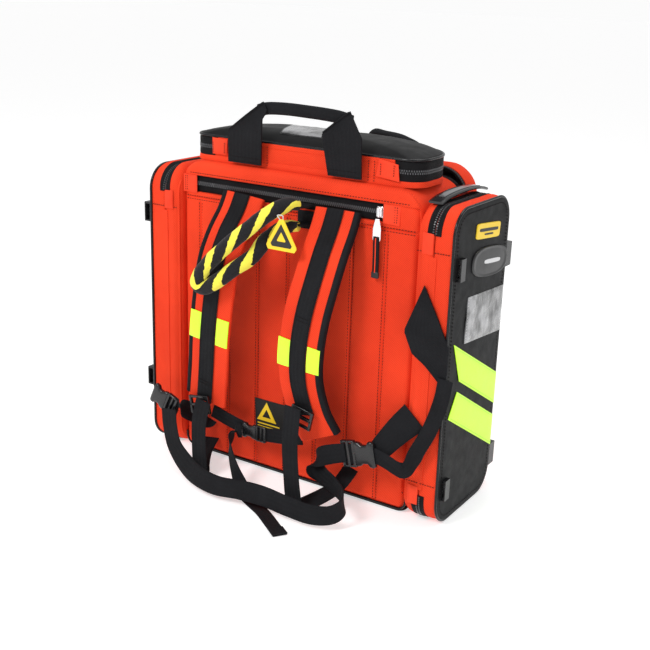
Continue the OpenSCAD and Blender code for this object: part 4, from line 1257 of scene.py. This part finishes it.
def shoulder(word, route, outer_side, patch, bars_at, lower):
    q = strap_route(route, 8)
    section = oval(34.5, 5.3, 36, 0.55)
    soft = np.repeat(section[None], len(q), 0)
    around = q[:, None, :3] + np.concatenate([soft, soft[..., :1]], -1)
    soft[..., 1] += np.where(soft[..., 1] > 0, 0.5 * ripple(around, 60, 101), 0)
    sweep(f"{word}_pad_cloth", q, soft, RED, "bag", stands_for=[f"{word}_pad"], padding=0.6, sharp=70)
    sweep(f"{word}_pad_mesh", lifted(q, -4.7), strip(61, 1.6), SPACER, "bag", sharp=70)
    sweep(f"{word}_pad_binding", q, oval(4.6, 5.9, 14, 0.7, (outer_side * 31.6, -0.3)), WEB, "bag", sharp=70)
    web = strap_route(route, 8) if word == "left" else strap_route(route[:8], 8)
    sweep(f"{word}_strap_web", lifted(web, 7.0), strip(27, 1.8), WEB, "bag", stands_for=[f"{word}_pad_web"],
        sharp=60)
    p, t, f, s = frames(lifted(web, 8.1))
    for edge in (-11.5, 11.5):
        keep = p[:, 2] > bars_at[-1]
        sew("bag", (p + s * edge)[keep], f[keep])
    for level in bars_at:
        i = int(np.argmin(abs(p[:, 2] - level)))
        for d in (-2.5, 2.5):
            row = np.stack([p[i] + s[i] * k - t[i] * d for k in np.linspace(-12, 12, 8)])
            sew("bag", row + f[i] * 0.2, f[i], pitch=2.6, long=2.1)
    part = between(strap_route(route, 14), *patch)
    for k, (a, b) in enumerate(((14.2, 34.2), (-34.2, -14.2))):
        xs = np.linspace(a, b, 6)
        height = 5.9 - 0.9 * np.clip((abs(xs) - 24) / 10, 0, 1) ** 2
        sec = np.concatenate([np.stack([xs, height + 0.5], 1), np.stack([xs[::-1], height[::-1] - 1.2], 1)])
        sweep(f"{word}_pad_patch_{k}", part, sec, HIVIS, "bag", sharp=60)
    sweep(f"{word}_lower_strap", strap_route(lower, 8), strip(27, 1.8, 0, 0.4), WEB, "bag",
        stands_for=[f"{word}_lower_web"], sharp=60)


shoulder("left", LEFT_PAD, 1, (209, 253), (146,), LEFT_LOWER)
shoulder("right", RIGHT_PAD, -1, (203, 244), (279, 147), RIGHT_LOWER)

# Ladder buckles at the pads' lower ends
for word, at, turn in (("left", (-124, -127, 106), rotation("Y", -10)),
    ("right", (58, -128, 132), rotation("Y", 12))):
    bars(f"{word}_ladder", [((0, 0, 12), (34, 4, 4)), ((0, 0, 0), (34, 5, 4)), ((0, 0, -12), (34, 4, 4)),
        ((-16, 0, 0), (4, 5, 28)), ((16, 0, 0), (4, 5, 28))], PLASTIC, "bag", turn, at)


# ---------- sternum strap ----------

TAIL = [[-60, -109, 74, 0, -1, 0.2], [-68, -113, 72, -0.8, -0.8, 0], [-70, -122, 65, -1, -0.2, 0],
    [-62, -134, 52, -0.8, -0.7, 0.2], [-42, -148, 30, -0.5, -0.8, 0.4], [-16, -162, 11, -0.3, -0.5, 1],
    [8, -172, 2.6, 0, -0.1, 1], [36, -186, 2, 0, 0, 1], [66, -206, 2, 0, 0, 1], [92, -224, 2, 0, 0, 1]]
sweep("sternum_left", strap_route([[-118, -104, 90], [-92, -102, 82], [-56, -101, 74]], 8), strip(22), WEB,
    "bag", stands_for=["sternum_strap"])
sweep("sternum_right", strap_route([[-28, -101, 74], [6, -100, 78], [40, -98, 85]], 8), strip(22), WEB, "bag")
tail = strap_route(TAIL, 8)
sweep("sternum_tail_strap", tail, strip(21, 1.7), WEB, "bag", stands_for=["sternum_tail"], sharp=60)
hem = tail[-6:]
sweep("sternum_tail_hem", hem + np.array([0, 0, 1.4, 0, 0, 0]), strip(22.5, 2.6), WEB, "bag", sharp=60)


def side_release(name, at, turn, long, wide, thick, stands_for=()):
    """A closed side-release buckle: a smooth body with notched sides, and a ladder frame for the webbing."""
    turn, at = np.asarray(turn), np.array(at, float)
    steps = [(-0.50, 0.84, 0.5), (-0.485, 0.94, 0.8), (-0.44, 1.0, 1.0), (-0.34, 0.98, 1.0),
        (-0.28, 0.72, 1.0), (-0.12, 0.70, 1.05), (-0.05, 0.88, 1.0), (0.04, 0.94, 0.95), (0.09, 0.92, 0.8),
        (0.10, 0.86, 0.5)]
    route = np.array([list(turn @ [k * long, 0, 0] + at) + list(turn @ [0, -1, 0]) for k, _, _ in steps])
    sections = np.stack([oval(wide / 2 * w, thick / 2 * t, 28, 0.5) for _, w, t in steps])
    sweep(f"{name}_body", route, sections, PLASTIC, "bag", stands_for=stands_for, sharp=50)
    h, w = long / 2, wide / 2
    frame_bars = [((h * 0.26, 0, 0), (long * 0.10, thick * 0.7, wide * 0.94)),
        ((h * 0.94, 0, 0), (long * 0.09, thick * 0.6, wide)),
        ((h * 0.60, thick * 0.1, 0), (long * 0.08, thick * 0.6, wide)),
        ((h * 0.6, 0, w * 0.93), (long * 0.40, thick * 0.6, wide * 0.09)),
        ((h * 0.6, 0, -w * 0.93), (long * 0.40, thick * 0.6, wide * 0.09))]
    bars(f"{name}_ladder", frame_bars, PLASTIC, "bag", turn, at, bevel=0.9)
    web = np.array([list(turn @ [k * h, y, 0] + at) + list(turn @ [0, -1, 0]) for k,
        y in ((0.2, 1.6), (0.42, 1.2), (0.60, 2.2), (0.78, 1.2), (1.0, 1.4))])
    sweep(f"{name}_web", web, strip(wide * 0.78), WEB, "bag", sharp=60)


side_release("sternum_buckle", (-42, -102, 74), rotation("Y", 0), 42, 24, 8)

# ---------- waist belt ----------

WAIST = [[-171, -143, 92], [-167, -145, 66, 0, -1, 0.1], [-155, -149, 38, 0, -1, 0.2],
    [-124, -160, 21, 0, -0.9, 0.5], [-88, -176, 18, 0, -0.8, 0.6], [-48, -184, 18, 0, -0.8, 0.6],
    [-8, -178, 20, 0, -0.8, 0.6], [30, -176, 21, 0, -0.9, 0.4], [72, -179, 20, 0, -1, 0.3],
    [110, -180, 20, 0, -1, 0.2], [138, -172, 24, 0.8, -1, 0.1], [147, -156, 32, 1, 0, 0.1],
    [136, -140, 39, 0.8, 1, 0.1], [112, -127, 44, 0.2, 1, 0], [90, -121, 50, -0.2, 1, 0],
    [76, -119, 60, -1, 0.3, 0], [86, -118, 76, -0.6, -1, 0], [112, -117, 88], [124, -115, 91]]
sweep("waist_strap", strap_route(WAIST, 8), strip(28, 1.9, 0, 0.5), WEB, "bag", stands_for=["waist_web"],
    sharp=60)
sweep("belt_anchor_left", strap_route([[-148, -76, 60], [-147, -88, 66, -0.9, -0.4, 0],
    [-149, -106, 78, -0.9, -0.4, 0], [-158, -128, 92, -0.8, -0.6, 0], [-168, -134, 95, -0.3, -1, 0]], 8),
    strip(31), WEB, "bag", stands_for=["left_belt_anchor"], sharp=60)
anchor = strap_route([[213, -87, 158], [197, -93, 140], [182, -100, 120], [170, -108, 102]], 8)
widen = np.stack([strip(44 - 14 * k / (len(anchor) - 1)) for k in range(len(anchor))])
sweep("belt_anchor_right", anchor, widen, WEB, "bag", stands_for=["right_belt_anchor"],
    finish="black_fabric", sharp=60)
side_release("belt_buckle_right", (144, -112, 94), rotation("Y", -12) @ rotation("Z", 180), 52, 38, 10,
    stands_for=["belt_buckles"])
side_release("belt_buckle_left", (-188, -134, 100), rotation("Y", 24), 46, 34, 9)
BELT_TAIL = [[166, -112, 99], [186, -111, 94], [202, -110, 88], [213, -107, 87, 0.5, -1, 0.2],
    [219, -102, 96, 0.7, -1, -0.4], [226, -98, 116], [241, -95, 150], [252, -91.5, 190], [256, -90, 222]]
sweep("belt_tail_strap", strap_route(BELT_TAIL, 10), strip(22), WEB, "bag",
    blend=("right_door", (219, -98, 96), (236, -95, 138)), stands_for=["right_belt_tail"], sharp=60)


# ---------- grab rope and its tag ----------

ROPE_ROUTE = [[24, -96, 421], [16, -108, 424], [-2, -130, 412], [-29, -145, 387], [-57, -152, 362],
    [-85, -154, 335], [-104, -152, 312], [-106, -151, 300], [-95, -150, 297], [-73, -149, 311],
    [-48, -145, 331], [-26, -132, 350], [-14, -118, 372], [4, -100, 389], [24, -96, 393]]
rope = spline(ROPE_ROUTE, 12)
count = len(rope)
run = np.arange(count)
thin = np.minimum(1, 0.62 + np.minimum(run, run[::-1]) / 40.0)
lumpy = 10.6 * thin * (1 + 0.05 * ripple(rope, 24, 111))
tube("rope_sleeve", rope, lumpy, ROPE, "grab_rope", sides=24, up=(0, 1, 0), stands_for=["grab_rope"],
    padding=0.7)
quad("rope_patch", [(8, -72.8, 386), (40, -72.8, 386), (40, -72.8, 411), (8, -72.8, 411)], 3.0, WEB, "bag",
    rows=6, cols=8, stands_for=["rope_anchor"])
for z in (392, 417):
    q = spline([[24, -74.5, z + 3, 0, 0, 1], [24, -84, z + 2, 0, 0, 1], [22, -98, z + 3, 0, 0, 1]], 8)
    sweep(f"rope_tongue_{z}", q, strip(18, 3.0), WEB, "bag")


def flat_at(y):
    """Stands a plate upright at a depth."""
    return lambda grid, lift: points(grid[..., 0], y - lift, grid[..., 1])


def open_mark(name, outer, inner, depths, mat, body):
    """A flat ring between two outlines with as many corners."""
    n = len(outer)
    verts = [(p[0], y, p[1]) for y in depths for ring in (outer, inner) for p in ring]
    faces = []
    for a in range(n):
        b = (a + 1) % n
        c, d = n + a, n + b
        far = 2 * n
        faces += [[a, b, d, c], [far + a, far + c, far + d, far + b], [a, far + a, far + b, b],
            [c, d, far + d, far + c]]
    piece(name, verts, faces, mat, body, finish="yellow_card")


def tag():
    c = np.array([[20, 409], [-3, 370], [0, 365], [42, 365], [45, 370]], float)
    centre = np.array([21, 383.0])

    plate("tag_card", [(17, 408), (-4, 371), (-1, 365), (42, 365), (46, 371), (24, 408)], 1.6,
        flat_at(-130.2), YELLOW, "hanging_tag", rows=16, cols=8, stands_for=["hanging_tag"], bevel=0.4)
    outer = centre + (c - centre) * 0.72
    inner = centre + (c - centre) * 0.30
    open_mark("tag_mark", outer, inner, (-132.1, -131.6), INK, "hanging_tag")
    tie = spline([[20, -129.0, 404], [18, -131.8, 408], [15, -133, 413], [20, -128, 412],
        [21, -129.0, 405]], 6)
    tube("tag_tie", tie, 0.8, WHITE_THREAD, "grab_rope", sides=6, finish="yellow_card")


tag()


# ---------- back label, zip slider and puller ----------

quad("label_card", [(-60, -72.4, 62), (4, -72.4, 62), (2, -72.4, 115), (-62, -72.4, 115)], 1.6, CARD, "bag",
    rows=8, cols=8, stands_for=["back_label"])
mark = np.array([[-57, 82], [-22, 82], [-40, 112]], float)
centre = mark.mean(0)
hole = centre + (mark - centre) * 0.45
open_mark("label_mark", mark, hole, (-74.4, -73.8), YELLOW, "bag")
for k, (z, w) in enumerate(((76, 40), (71, 52), (66, 34))):
    quad(f"label_bar_{k}", [(-56, -73.9, z), (-56 + w, -73.9, z), (-56 + w, -73.9, z + 2),
        (-56, -73.9, z + 2)], 0.5, YELLOW, "bag", rows=2, cols=6)

bars("slider_body", [((137.5, -72.6, 425), (9, 2.4, 15)), ((137.5, -76.0, 425), (8, 1.6, 12)),
    ((137.5, -74.4, 429.5), (3, 4, 5)), ((137.5, -77.2, 425), (3, 1.6, 12)),
    ((137.5, -77.6, 419.5), (3.4, 2.0, 2.0))], CHROME, "back_slider", bevel=0.6, stands_for=["back_slider"])


def puller():
    plate("puller_plate", [(134.5, 417), (140.5, 417), (143.6, 404), (143.6, 389), (141, 386), (134, 386),
        (131.4, 389), (131.4, 404)], 1.8, flat_at(-78.9), CHROME, "back_puller", rows=14, cols=6, bevel=0.5,
        stands_for=["back_puller"])
    cord = strap_route([[137.5, -79.9, 393], [137.5, -80.4, 386], [137.5, -79.6, 370], [137.5, -79.2, 352],
        [137.5, -79.4, 339]], 8)
    sweep("puller_cord", cord, oval(4.6, 2.0, 16, 0.6), WEB, "back_puller", finish="pull_cord", sharp=60)
    sweep("puller_line", cord[3:-4], strip(1.6, 0.8, 2.2), RED_TAB, "back_puller")
    bars("puller_end", [((137.5, -79.4, 341), (11, 4.6, 9))], RUBBER, "back_puller", bevel=1.4,
        finish="black_plastic")


puller()
sew_up()

# Cloth hinge under the front flap
x = np.linspace(-180, 180, 40)
route = [(112, 3.0), (117, 2.9), (121, 2.9), (123, 3.2), (124, 5.0), (124, 8.0)]
outer = np.stack([points(x, y, z) for y, z in route])
inner = np.stack([points(x, y - 0.8, z + 0.9) for y, z in route])
slab("flap_hinge_cloth", outer, inner, COATED_BASE, "bag", blend=("front_flap", (0, 119, 3), (0, 124, 6)))
